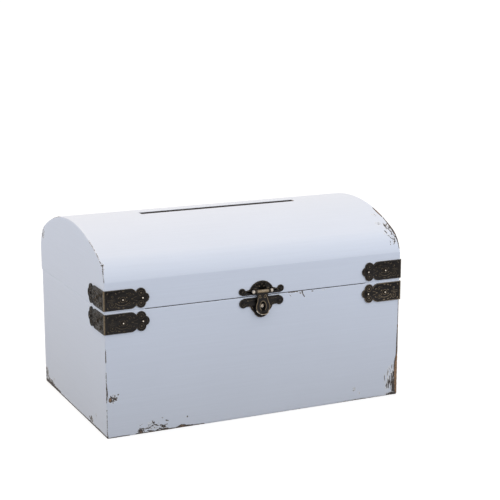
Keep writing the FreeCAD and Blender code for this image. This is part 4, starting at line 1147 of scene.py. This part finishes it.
# Corner brackets: body, side, direction of that side, and how far the scrolls and the bend are rubbed; part
# of that rub is painted highlight, on the lit bends of the left brackets and the glinting lower right
# bracket
BRACKETS = (
    ("lid", "left", -1, 0.52, 0.95),
    ("lid", "right", 1, 0.5, 0.5),
    ("base", "left", -1, 0.44, 0.95),
    ("base", "right", 1, 0.75, 0.7),
)
PLAIN_SHARE = 0.4  # Share of the rub of the scrolls that the plain sheet round them has

# Scrollwork of a bracket leg: across from the corner, up from the middle line
BRACKET_STROKES = both_halves([
    [(26.5, 0.9, 0.3), (24, 4.2, 0.4), (19.5, 5.9, 0.45), (14.5, 5.2, 0.45), (11.6, 2.8, 0.42)]
    + volute(7.4, 4.0, 3.6, -18, 1.45, 0.42),
    [(21, 5.6, 0.3)] + volute(25.4, 4.2, 2.3, 140, -1.2, 0.36),
    [(2.4, 0.8, 0.3), (4.6, 0.9, 0.36), (8.5, 0.7, 0.36), (11.4, 0.7, 0.3)],
    [(29, 1.1, 0.3), (31.5, 1.5, 0.4), (33.6, 2.2, 0.36)],
    ring(37.6, 5.0, 2.7),
]) + [ring(18.6, 0, 2.7, 0.4), [(43.6, -2.4, 0.3), (44.4, 0, 0.4), (43.6, 2.4, 0.3)]]
BRACKET_DROPS = [drop for sign in (1, -1) for drop in (
    (14.4, sign * 7.7, 2.0, 0.75, sign * 14), (19.4, sign * 8.1, 1.9, 0.7, sign * -4),
    (3.0, sign * 7.4, 1.5, 0.7, sign * 60), (11.6, sign * 6.8, 1.3, 0.6, sign * -50),
    (22.6, sign * 2.0, 1.5, 0.6, sign * -35), (14.6, sign * 2.2, 1.5, 0.6, sign * 35),
    (7.4, sign * 4.0, 0.8, 0.8, 0), (25.4, sign * 4.2, 0.6, 0.6, 0), (37.6, sign * 5.0, 1.2, 1.2, 0),
    (29.6, sign * 4.4, 1.4, 0.6, sign * -40),
)] + [(28.4, 0, 1.6, 0.7, 0)]


def corner_bracket(body, side, sign, scrolls, bend):
    """One corner bracket, stamped and rubbed."""
    node = f"{body}_bracket_{side}"
    low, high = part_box(node)
    corner = (sign * HALF_WIDTH, FRONT_Y, (low.z + high.z) / 2)
    outer_x = sign * (HALF_WIDTH + PLATE)
    outer_y = FRONT_Y - PLATE

    def bend_edge(point):
        return near(point.x, outer_x) and near(point.y, outer_y)

    def outline(point):
        return near(point.x, outer_x) or near(point.y, outer_y)

    bm = node_copy(node)
    stamp_field(bm, (0, -1, 0), -outer_y)
    stamp_field(bm, (sign, 0, 0), HALF_WIDTH + PLATE)
    round_edges(bm, sharp_edges(bm, bend_edge), BEND_ROUND, 3)
    round_edges(bm, sharp_edges(bm, outline), RIM_ROUND, 2)
    keep_rub(bm, 0, PLAIN_SHARE * scrolls, bend)
    plain = len(bm.verts)
    for across, outward in (((-sign, 0, 0), (0, -1, 0)), ((0, 1, 0), (sign, 0, 0))):
        place = plate_frame(corner, across, outward)
        lay_strokes(bm, BRACKET_STROKES, place)
        lay_drops(bm, BRACKET_DROPS, place)
    keep_rub(bm, plain, scrolls)
    make_piece(f"{body}_corner_bracket_{side}", bm, antique_bronze(), body, [node])


class CARDBOX_OT_brackets(bpy.types.Operator):
    """Stamped corner brackets with rims and scrollwork"""

    bl_idname = "card_box.brackets"
    bl_label = "Corner Brackets"

    def execute(self, context):
        for bracket in BRACKETS:
            corner_bracket(*bracket)
        return {"FINISHED"}


# Nails and the stud as heights from the board and radii in millimetres
NAIL = (
    (-5.3, 0.0), (-4.2, 0.45), (-3.2, 0.7), (1.1, 0.7), (1.1, 1.2), (1.1, 1.7), (1.3, 1.74), (1.5, 1.66),
    (1.78, 1.45), (2.02, 1.1), (2.2, 0.65), (2.28, 0.25), (2.3, 0.0),
)
STUD = (
    (-6, 0.0), (-6, 1.2), (1.2, 1.2), (1.2, 2.0), (1.35, 2.2), (2.0, 2.2), (2.15, 2.05), (2.4, 2.1),
    (2.75, 1.85), (3.05, 1.4), (3.25, 0.8), (3.33, 0.3), (3.35, 0.0),
)
NAIL_RADIUS = 1.7 * MM
NAIL_REACHES = (18.6 * MM, 39 * MM)  # From the corner along each arm of a bracket
# Hammer blows: largest slant, height that they leave, and share of what stands out further that they take
BLOW_SLANT = 0.35
BLOW_HEIGHT = 2.12 * MM
BLOW_SHARE = 0.8
# The rubbed crown of a nail head, pale as a painted highlight, ends this many millimetres from its axis,
# and is full this much further in
HEAD_GLINT_END = 0.86
HEAD_GLINT_FADE = 0.35
# Levels of rubbing of the nails: brackets in front, brackets at the sides and the latch; the pale crowns in
# front are also painted highlights, left dull at the sides
FRONT_NAIL_RUB_AND_GLINT = 0.95
SIDE_NAIL_RUB_AND_GLINT = 0.4
LATCH_NAIL_RUB = 0.35


def in_metres(profile):
    """A profile that is given in millimetres."""
    return [(height * MM, radius * MM) for height, radius in profile]


def bracket_nail_places(body):
    """Places and directions of the nails in the two brackets of a body."""
    low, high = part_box(f"{body}_bracket_nails")
    middle = (low.z + high.z) / 2
    places = []
    for sign in (-1, 1):
        for reach in NAIL_REACHES:
            places.append(((sign * (HALF_WIDTH - reach), FRONT_Y, middle), (0, -1, 0)))
            places.append(((sign * HALF_WIDTH, FRONT_Y + reach, middle), (sign, 0, 0)))
    return places


def latch_nail_places(node):
    """Places and directions of the two nails in a latch plate."""
    low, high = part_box(node)
    middle = (low.z + high.z) / 2
    return [((x, FRONT_Y, middle), (0, -1, 0)) for x in (low.x + NAIL_RADIUS, high.x - NAIL_RADIUS)]


def hammer(verts, place, axis, blows):
    """Leaves a nail head a little flat on one side."""
    slant = Vector([blows.uniform(-BLOW_SLANT, BLOW_SLANT) for i in range(3)])
    blow = (Vector(axis) + slant).normalized()
    for vert in verts:
        proud = (vert.co - Vector(place)).dot(blow) - BLOW_HEIGHT
        if proud > 0:
            vert.co -= blow * proud * BLOW_SHARE


def rub_and_highlight_heads(bm, places, level):
    """Keeps how far the crowns of nail heads are rubbed; the pale crowns also paint the highlights of the
    domes.
    """
    rub = bm.verts.layers.float.new("rub")
    for vert in bm.verts:
        place, axis = min(places, key=lambda item: (vert.co - Vector(item[0])).length)
        away = vert.co - Vector(place)
        radius = (away - Vector(axis) * away.dot(Vector(axis))).length / MM
        crown = min(1.0, max(0.0, (HEAD_GLINT_END - radius) / HEAD_GLINT_FADE))
        vert[rub] = crown * (level if axis[0] == 0 else SIDE_NAIL_RUB_AND_GLINT)


def domed_nails(places, level, blows):
    """The mesh of a group of nails."""
    bm = bmesh.new()
    for place, axis in places:
        hammer(turned(bm, in_metres(NAIL), place, axis), place, axis, blows)
    rub_and_highlight_heads(bm, places, level)
    return bm


class CARDBOX_OT_nails(bpy.types.Operator):
    """Domed nails of the brackets and the latch plates"""

    bl_idname = "card_box.nails"
    bl_label = "Domed Nails"

    def execute(self, context):
        blows = random.Random(4)
        for body in ("lid", "base"):
            node = f"{body}_bracket_nails"
            bm = domed_nails(bracket_nail_places(body), FRONT_NAIL_RUB_AND_GLINT, blows)
            make_piece(f"{body}_bracket_domes", bm, bright_brass(), body, [node], 50)
        for body, node in (("lid", "latch_upper_nails"), ("base", "latch_catch_nails")):
            bm = domed_nails(latch_nail_places(node), LATCH_NAIL_RUB, blows)
            make_piece(f"{node}_domes", bm, antique_bronze(), body, [node], 50)
        return {"FINISHED"}


# Scrollwork of the latch plates: across from the middle of the latch, up from the middle of each plate
UPPER_STROKES = both_sides([
    volute(5.2, 6.6, 2.6, 200, 1.2, 0.36), volute(21.5, 0.3, 1.9, 180, -1.1, 0.36),
    [(9.6, 3.4, 0.3), (13, 1.9, 0.36), (17, 0.6, 0.36), (19.4, -1.2, 0.32)],
    [(1.0, 9.0, 0.3), (3.2, 9.4, 0.36), (6.6, 8.8, 0.3)],
])
UPPER_DROPS = ((0, 7.0, 0.7, 1.6, 0), (2.6, 4.6, 1.3, 0.6, 60), (-2.6, 4.6, 1.3, 0.6, -60))
LOWER_STROKES = both_sides([
    volute(19.8, -0.2, 2.5, 180, 1.3, 0.4), volute(12.4, -2.6, 1.9, 60, -1.1, 0.36),
    [(16.8, 3.4, 0.3), (13.4, 2.2, 0.36), (9.8, 3.2, 0.32)],
    [(9.6, -7.4, 0.3), (8.2, -10.6, 0.38), (5.4, -13.2, 0.3)],
])
LOWER_DROPS = [drop for sign in (1, -1) for drop in (
    (sign * 15.6, 2.6, 1.3, 0.6, sign * 20), (sign * 10.2, -5.0, 1.2, 0.6, sign * 60),
    (sign * 19.8, -0.2, 0.7, 0.7, 0),
)]
LOWER_MIDDLE = 121.0 * MM
# Levels of rubbing of the plates and of the scrolls on them
PLATE_RUB = 0.3
SCROLL_RUB = 0.6


class CARDBOX_OT_latch_plates(bpy.types.Operator):
    """Upper and lower plate of the latch, with rims and scrolls"""

    bl_idname = "card_box.latch_plates"
    bl_label = "Latch Plates"

    def execute(self, context):
        plates = (
            ("upper_latch_plate", "latch_upper_plate", "lid", UPPER_STROKES, UPPER_DROPS, PIN_Z),
            ("lower_latch_plate", "latch_catch_plate", "base", LOWER_STROKES, LOWER_DROPS, LOWER_MIDDLE),
        )
        for name, node, body, strokes, drops, middle in plates:
            bm = node_copy(node)
            stamp_field(bm, (0, -1, 0), PLATE - FRONT_Y)
            outline = sharp_edges(bm, lambda point: near(point.y, FRONT_Y - PLATE))
            round_edges(bm, outline, RIM_ROUND, 2)
            place = plate_frame((LATCH_X, FRONT_Y, middle), (1, 0, 0), (0, -1, 0))
            keep_rub(bm, 0, PLATE_RUB)
            plain = len(bm.verts)
            lay_strokes(bm, strokes, place)
            lay_drops(bm, drops, place)
            keep_rub(bm, plain, SCROLL_RUB)
            make_piece(name, bm, antique_bronze(), body, [node])
        return {"FINISHED"}


# Heights on the hasp in millimetres from the pin: end of the barrel, centre of the eye, start of the lip
HASP_BARREL = -0.6
HASP_EYE = -16.3
HASP_LIP = -19.6
# The edge of the lip is rubbed, and lightened as a painted highlight, from this far from the eye on, or
# where it curls out this far
LIP_RADIUS = 6.9
LIP_CURL = 2.6
# Rims of the hasp: one down each side and one round the hole
HASP_STROKES = both_sides([
    [(4.8, -6.6, 0.3), (5.4, -7.8, 0.4), (5.5, -9.2, 0.45), (5.9, -11, 0.5), (7.2, -14, 0.5),
     (7.5, -16.4, 0.5), (7.2, -18.4, 0.45), (6.7, -19.4, 0.3)],
    volute(2.9, -5.2, 2.0, 200, 1.2, 0.38),
]) + [oval(0, -15.5, 3.55, 5.3, 0.4, 16)]
HASP_ROUND = 0.12 * MM
HASP_GRID = 0.8 * MM


def hasp_rub_and_highlight(across, rise, out):
    """How far handling has rubbed the barrel, the rims and the edge of the lip; the pale barrel and lip
    edge are also painted highlights.
    """
    if rise > HASP_BARREL:
        return 1.15
    if rise < HASP_LIP:
        edge = max(0.0, math.hypot(across, rise - HASP_EYE) - LIP_RADIUS, out - LIP_CURL)
        return 0.15 + 1.4 * min(1.0, edge)
    return 0.8 if out > 0.1 else 0.0


class CARDBOX_OT_hasp(bpy.types.Operator):
    """Hasp with its rolled barrel, eye and curled lip"""

    bl_idname = "card_box.hasp"
    bl_label = "Hasp"

    def execute(self, context):
        bm = node_copy("latch_hasp")
        front = max(bm.faces, key=lambda face: -face.normal.y * face.calc_area())
        outward = front.normal.copy()
        level = front.calc_center_median().dot(outward)
        round_edges(bm, sharp_edges(bm, lambda point: True), HASP_ROUND, 2)
        rule_grid(bm, HASP_GRID)
        pin = Vector((LATCH_X, PIN_Y, PIN_Z))
        up = Vector((0, outward.z, -outward.y))
        place = fitting_frame(pin + outward * (level - pin.dot(outward)), (1, 0, 0), up, outward)
        lay_strokes(bm, HASP_STROKES, place)
        rub = bm.verts.layers.float.new("rub")
        to_fitting = place.inverted()
        for vert in bm.verts:
            vert[rub] = hasp_rub_and_highlight(*(to_fitting @ vert.co / MM))
        make_piece("hasp", bm, antique_bronze(), "hasp", ["latch_hasp"], 40)
        return {"FINISHED"}


# Levels of rubbing of the pin and the stud
PIN_RUB = 0.66
STUD_RUB = 0.6


def pin_profile():
    """A thin pin with a ball at each end."""
    ball = (PIN_HIGH.z - PIN_LOW.z) / 2
    end = []
    for degrees in range(0, 151, 15):
        angle = math.radians(degrees)
        end.append((ball - ball * math.cos(angle), ball * math.sin(angle)))
    length = PIN_HIGH.x - PIN_LOW.x
    return end + [(length - height, radius) for height, radius in reversed(end)]


class CARDBOX_OT_turned_brass(bpy.types.Operator):
    """Pin with ball ends and the stud that the hasp snaps over"""

    bl_idname = "card_box.turned_brass"
    bl_label = "Latch Pin and Stud"

    def execute(self, context):
        bm = bmesh.new()
        turned(bm, pin_profile(), (PIN_LOW.x, PIN_Y, PIN_Z), (1, 0, 0))
        keep_even_rub(bm, PIN_RUB)
        make_piece("hasp_pin", bm, bright_brass(), "lid", ["latch_hinge_pin"])
        bm = bmesh.new()
        turned(bm, in_metres(STUD), (LATCH_X, FRONT_Y, STUD_Z), (0, -1, 0))
        keep_even_rub(bm, STUD_RUB)
        make_piece("catch_stud", bm, bright_brass(), "base", ["latch_catch_stud"])
        return {"FINISHED"}


# Hinge screws: reach from the middle of the hinge and half width of the slots
SCREW_REACH = 9 * MM
SCREW_SLOT = 0.28 * MM
# Levels of rubbing of the hinges and their screws
HINGE_RUB = 0.3
SCREW_RUB = 0.7


def cut_screw_slot(bm, middle, radius, turn):
    """Cuts the slot of a screw, turned as the screw was left."""
    length = radius + SCREW_SLOT
    slot = box_mesh((-length, -SCREW_SLOT, -SCREW_SLOT), (length, SCREW_SLOT, SCREW_SLOT))
    bmesh.ops.rotate(slot, matrix=Matrix.Rotation(turn, 3, "Z"), verts=slot.verts)
    bmesh.ops.translate(slot, vec=middle, verts=slot.verts)
    carve(bm, slot)


class CARDBOX_OT_hinges(bpy.types.Operator):
    """Butt hinges with their pins and screws"""

    bl_idname = "card_box.hinges"
    bl_label = "Hinges"

    def execute(self, context):
        for side in ("left", "right"):
            for kind, body in (("base_leaf", "base"), ("lid_leaf", "lid"), ("pin", "base")):
                node = f"hinge_{side}_{kind}"
                bm = node_copy(node)
                keep_even_rub(bm, HINGE_RUB)
                make_piece(f"{node}_bronze", bm, antique_bronze(), body, [node], 30)
        turns = random.Random(9)
        for body in ("base", "lid"):
            node = f"hinge_{body}_screws"
            low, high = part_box(node)
            head = high.z if body == "base" else low.z
            bm = node_copy(node)
            for side in ("left", "right"):
                leaf_low, leaf_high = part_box(f"hinge_{side}_base_leaf")
                for reach in (-SCREW_REACH, SCREW_REACH):
                    middle = Vector(((leaf_low.x + leaf_high.x) / 2 + reach, (low.y + high.y) / 2, head))
                    cut_screw_slot(bm, middle, (high.y - low.y) / 2, turns.uniform(0, math.pi))
            keep_even_rub(bm, SCREW_RUB)
            make_piece(f"{node}_slotted", bm, antique_bronze(), body, [node], 30)
        return {"FINISHED"}


# Stage

# Half the side of the floor in metres, and its drop, so that it doesn't touch the box
FLOOR_SIZE = 20.0
FLOOR_DROP = 0.2 * MM
# Distances in metres from the middle of the box over which the light that the floor gives back grows
FLOOR_NEAR = 0.22
FLOOR_FAR = 0.9
# Lamps: name, place and breadth in metres, power in watts and tint
LAMPS = (
    ("top_light", (-0.4, 0.9, 1.4), 1.2, 6.2, "FFDDB8"),
    ("front_light", (0.9, -1.5, 0.6), 1.2, 4.2, "EAF1FF"),
)
LAMP_AIM = Vector((0, 0, 0.12))
# Camera: place in metres, lens and film in millimetres, and degrees below level and to the right
CAMERA_PLACE = (-0.5760, -1.3122, 0.4710)
CAMERA_LENS = 98.35
CAMERA_FILM = 36
CAMERA_DIP = 12.467
CAMERA_TURN = 25.07


def seen_ray(tree):
    """1 for the rays that show a surface to the camera, also in a reflection or through glass, else 0."""
    path = add(tree, "LightPath").node.outputs
    seen = add(tree, "Math", {0: path["Is Camera Ray"], 1: path["Is Glossy Ray"]}, operation="MAXIMUM")
    return add(tree, "Math", {0: seen, 1: path["Is Transmission Ray"]}, operation="MAXIMUM")


def floor_paint():
    """Matt white floor: it keeps a soft shadow, and little light comes back from it close to the box."""
    material = bpy.data.materials.new("Matt white studio floor")
    material.use_nodes = True
    tree = material.node_tree
    tree.nodes.clear()
    seen = seen_ray(tree)
    place = add(tree, "TexCoord", output="Object")
    away = add(tree, "VectorMath", {0: place}, "Value", operation="LENGTH")
    far = add(tree, "MapRange", {"Value": away, "From Min": FLOOR_NEAR, "From Max": FLOOR_FAR},
              interpolation_type="SMOOTHSTEP")
    bounce = add(tree, "Mix", {0: far, 6: linear("3A4150"), 7: linear("D0DDF2")}, 2, data_type="RGBA")
    matt = add(tree, "BsdfDiffuse", {"Color": bounce})
    shadowed = add(tree, "BsdfDiffuse", {"Color": linear("959595")})
    white = add(tree, "Emission", {"Color": linear("FFFFFF"), "Strength": 0.78})
    bright = add(tree, "AddShader", {0: shadowed, 1: white})
    surface = add(tree, "MixShader", {0: seen, 1: matt, 2: bright})
    add(tree, "OutputMaterial", {"Surface": surface})
    return material


def studio_floor(scene):
    """The floor under the box."""
    bm = bmesh.new()
    bmesh.ops.create_grid(bm, x_segments=8, y_segments=8, size=FLOOR_SIZE)
    bmesh.ops.translate(bm, vec=(0, 0, -FLOOR_DROP), verts=bm.verts)
    mesh = bpy.data.meshes.new("studio_floor")
    bm.to_mesh(mesh)
    bm.free()
    mesh.materials.append(floor_paint())
    floor = bpy.data.objects.new("studio_floor", mesh)
    scene.collection.objects.link(floor)


def studio_light(scene):
    """Even light from all round, white where it is seen."""
    world = bpy.data.worlds.new("studio_light")
    scene.world = world
    world.use_nodes = True
    tree = world.node_tree
    tree.nodes.clear()
    seen = seen_ray(tree)
    white = add(tree, "Background", {"Color": linear("FFFFFF"), "Strength": 1.0})
    soft = add(tree, "Background", {"Color": linear("FDFDFF"), "Strength": 1.0})
    light = add(tree, "MixShader", {0: seen, 1: soft, 2: white})
    add(tree, "OutputWorld", {"Surface": light})


def studio_lamps(scene):
    """A broad lamp from above and behind, and one from the front."""
    for name, place, breadth, power, tint in LAMPS:
        lamp = bpy.data.lights.new(name, "AREA")
        lamp.shape = "DISK"
        lamp.size = breadth
        lamp.energy = power
        lamp.color = linear(tint)[:3]
        item = bpy.data.objects.new(name, lamp)
        item.location = place
        item.rotation_euler = (LAMP_AIM - Vector(place)).to_track_quat("-Z", "Y").to_euler()
        scene.collection.objects.link(item)


def studio_camera(scene):
    """The camera, in front on the left."""
    camera = bpy.data.cameras.new("camera")
    camera.lens = CAMERA_LENS
    camera.sensor_width = CAMERA_FILM
    item = bpy.data.objects.new("camera", camera)
    item.location = CAMERA_PLACE
    item.rotation_euler = (math.radians(90 - CAMERA_DIP), 0, math.radians(-CAMERA_TURN))
    scene.collection.objects.link(item)
    scene.camera = item


class CARDBOX_OT_stage(bpy.types.Operator):
    """Pale floor, soft studio light and the camera"""

    bl_idname = "card_box.stage"
    bl_label = "Stage"

    def execute(self, context):
        scene = context.scene
        scene.view_settings.view_transform = "Standard"
        studio_floor(scene)
        studio_light(scene)
        studio_lamps(scene)
        studio_camera(scene)
        return {"FINISHED"}


class CARDBOX_PT_panel(bpy.types.Panel):
    """Lists the pieces of the card box"""

    bl_idname = "CARDBOX_PT_panel"
    bl_label = "Card Box"
    bl_space_type = "VIEW_3D"
    bl_region_type = "UI"
    bl_category = "Card Box"

    def draw(self, context):
        for operator in OPERATORS:
            self.layout.operator(operator.bl_idname)


OPERATORS = (
    CARDBOX_OT_base_boards,
    CARDBOX_OT_lid_frame,
    CARDBOX_OT_lid_panel,
    CARDBOX_OT_brackets,
    CARDBOX_OT_nails,
    CARDBOX_OT_latch_plates,
    CARDBOX_OT_hasp,
    CARDBOX_OT_turned_brass,
    CARDBOX_OT_hinges,
    CARDBOX_OT_stage,
)
CLASSES = (CardBoxSizes, CardBoxFinish) + OPERATORS + (CARDBOX_PT_panel,)


def register():
    for item in CLASSES:
        bpy.utils.register_class(item)
    bpy.types.Scene.card_box_sizes = bpy.props.PointerProperty(type=CardBoxSizes)
    bpy.types.Scene.card_box_finish = bpy.props.PointerProperty(type=CardBoxFinish)


def unregister():
    del bpy.types.Scene.card_box_finish
    del bpy.types.Scene.card_box_sizes
    for item in reversed(CLASSES):
        bpy.utils.unregister_class(item)


def main():
    register()
    for operator in OPERATORS:
        group, name = operator.bl_idname.split(".")
        getattr(getattr(bpy.ops, group), name)()


if __name__ == "__main__":
    main()
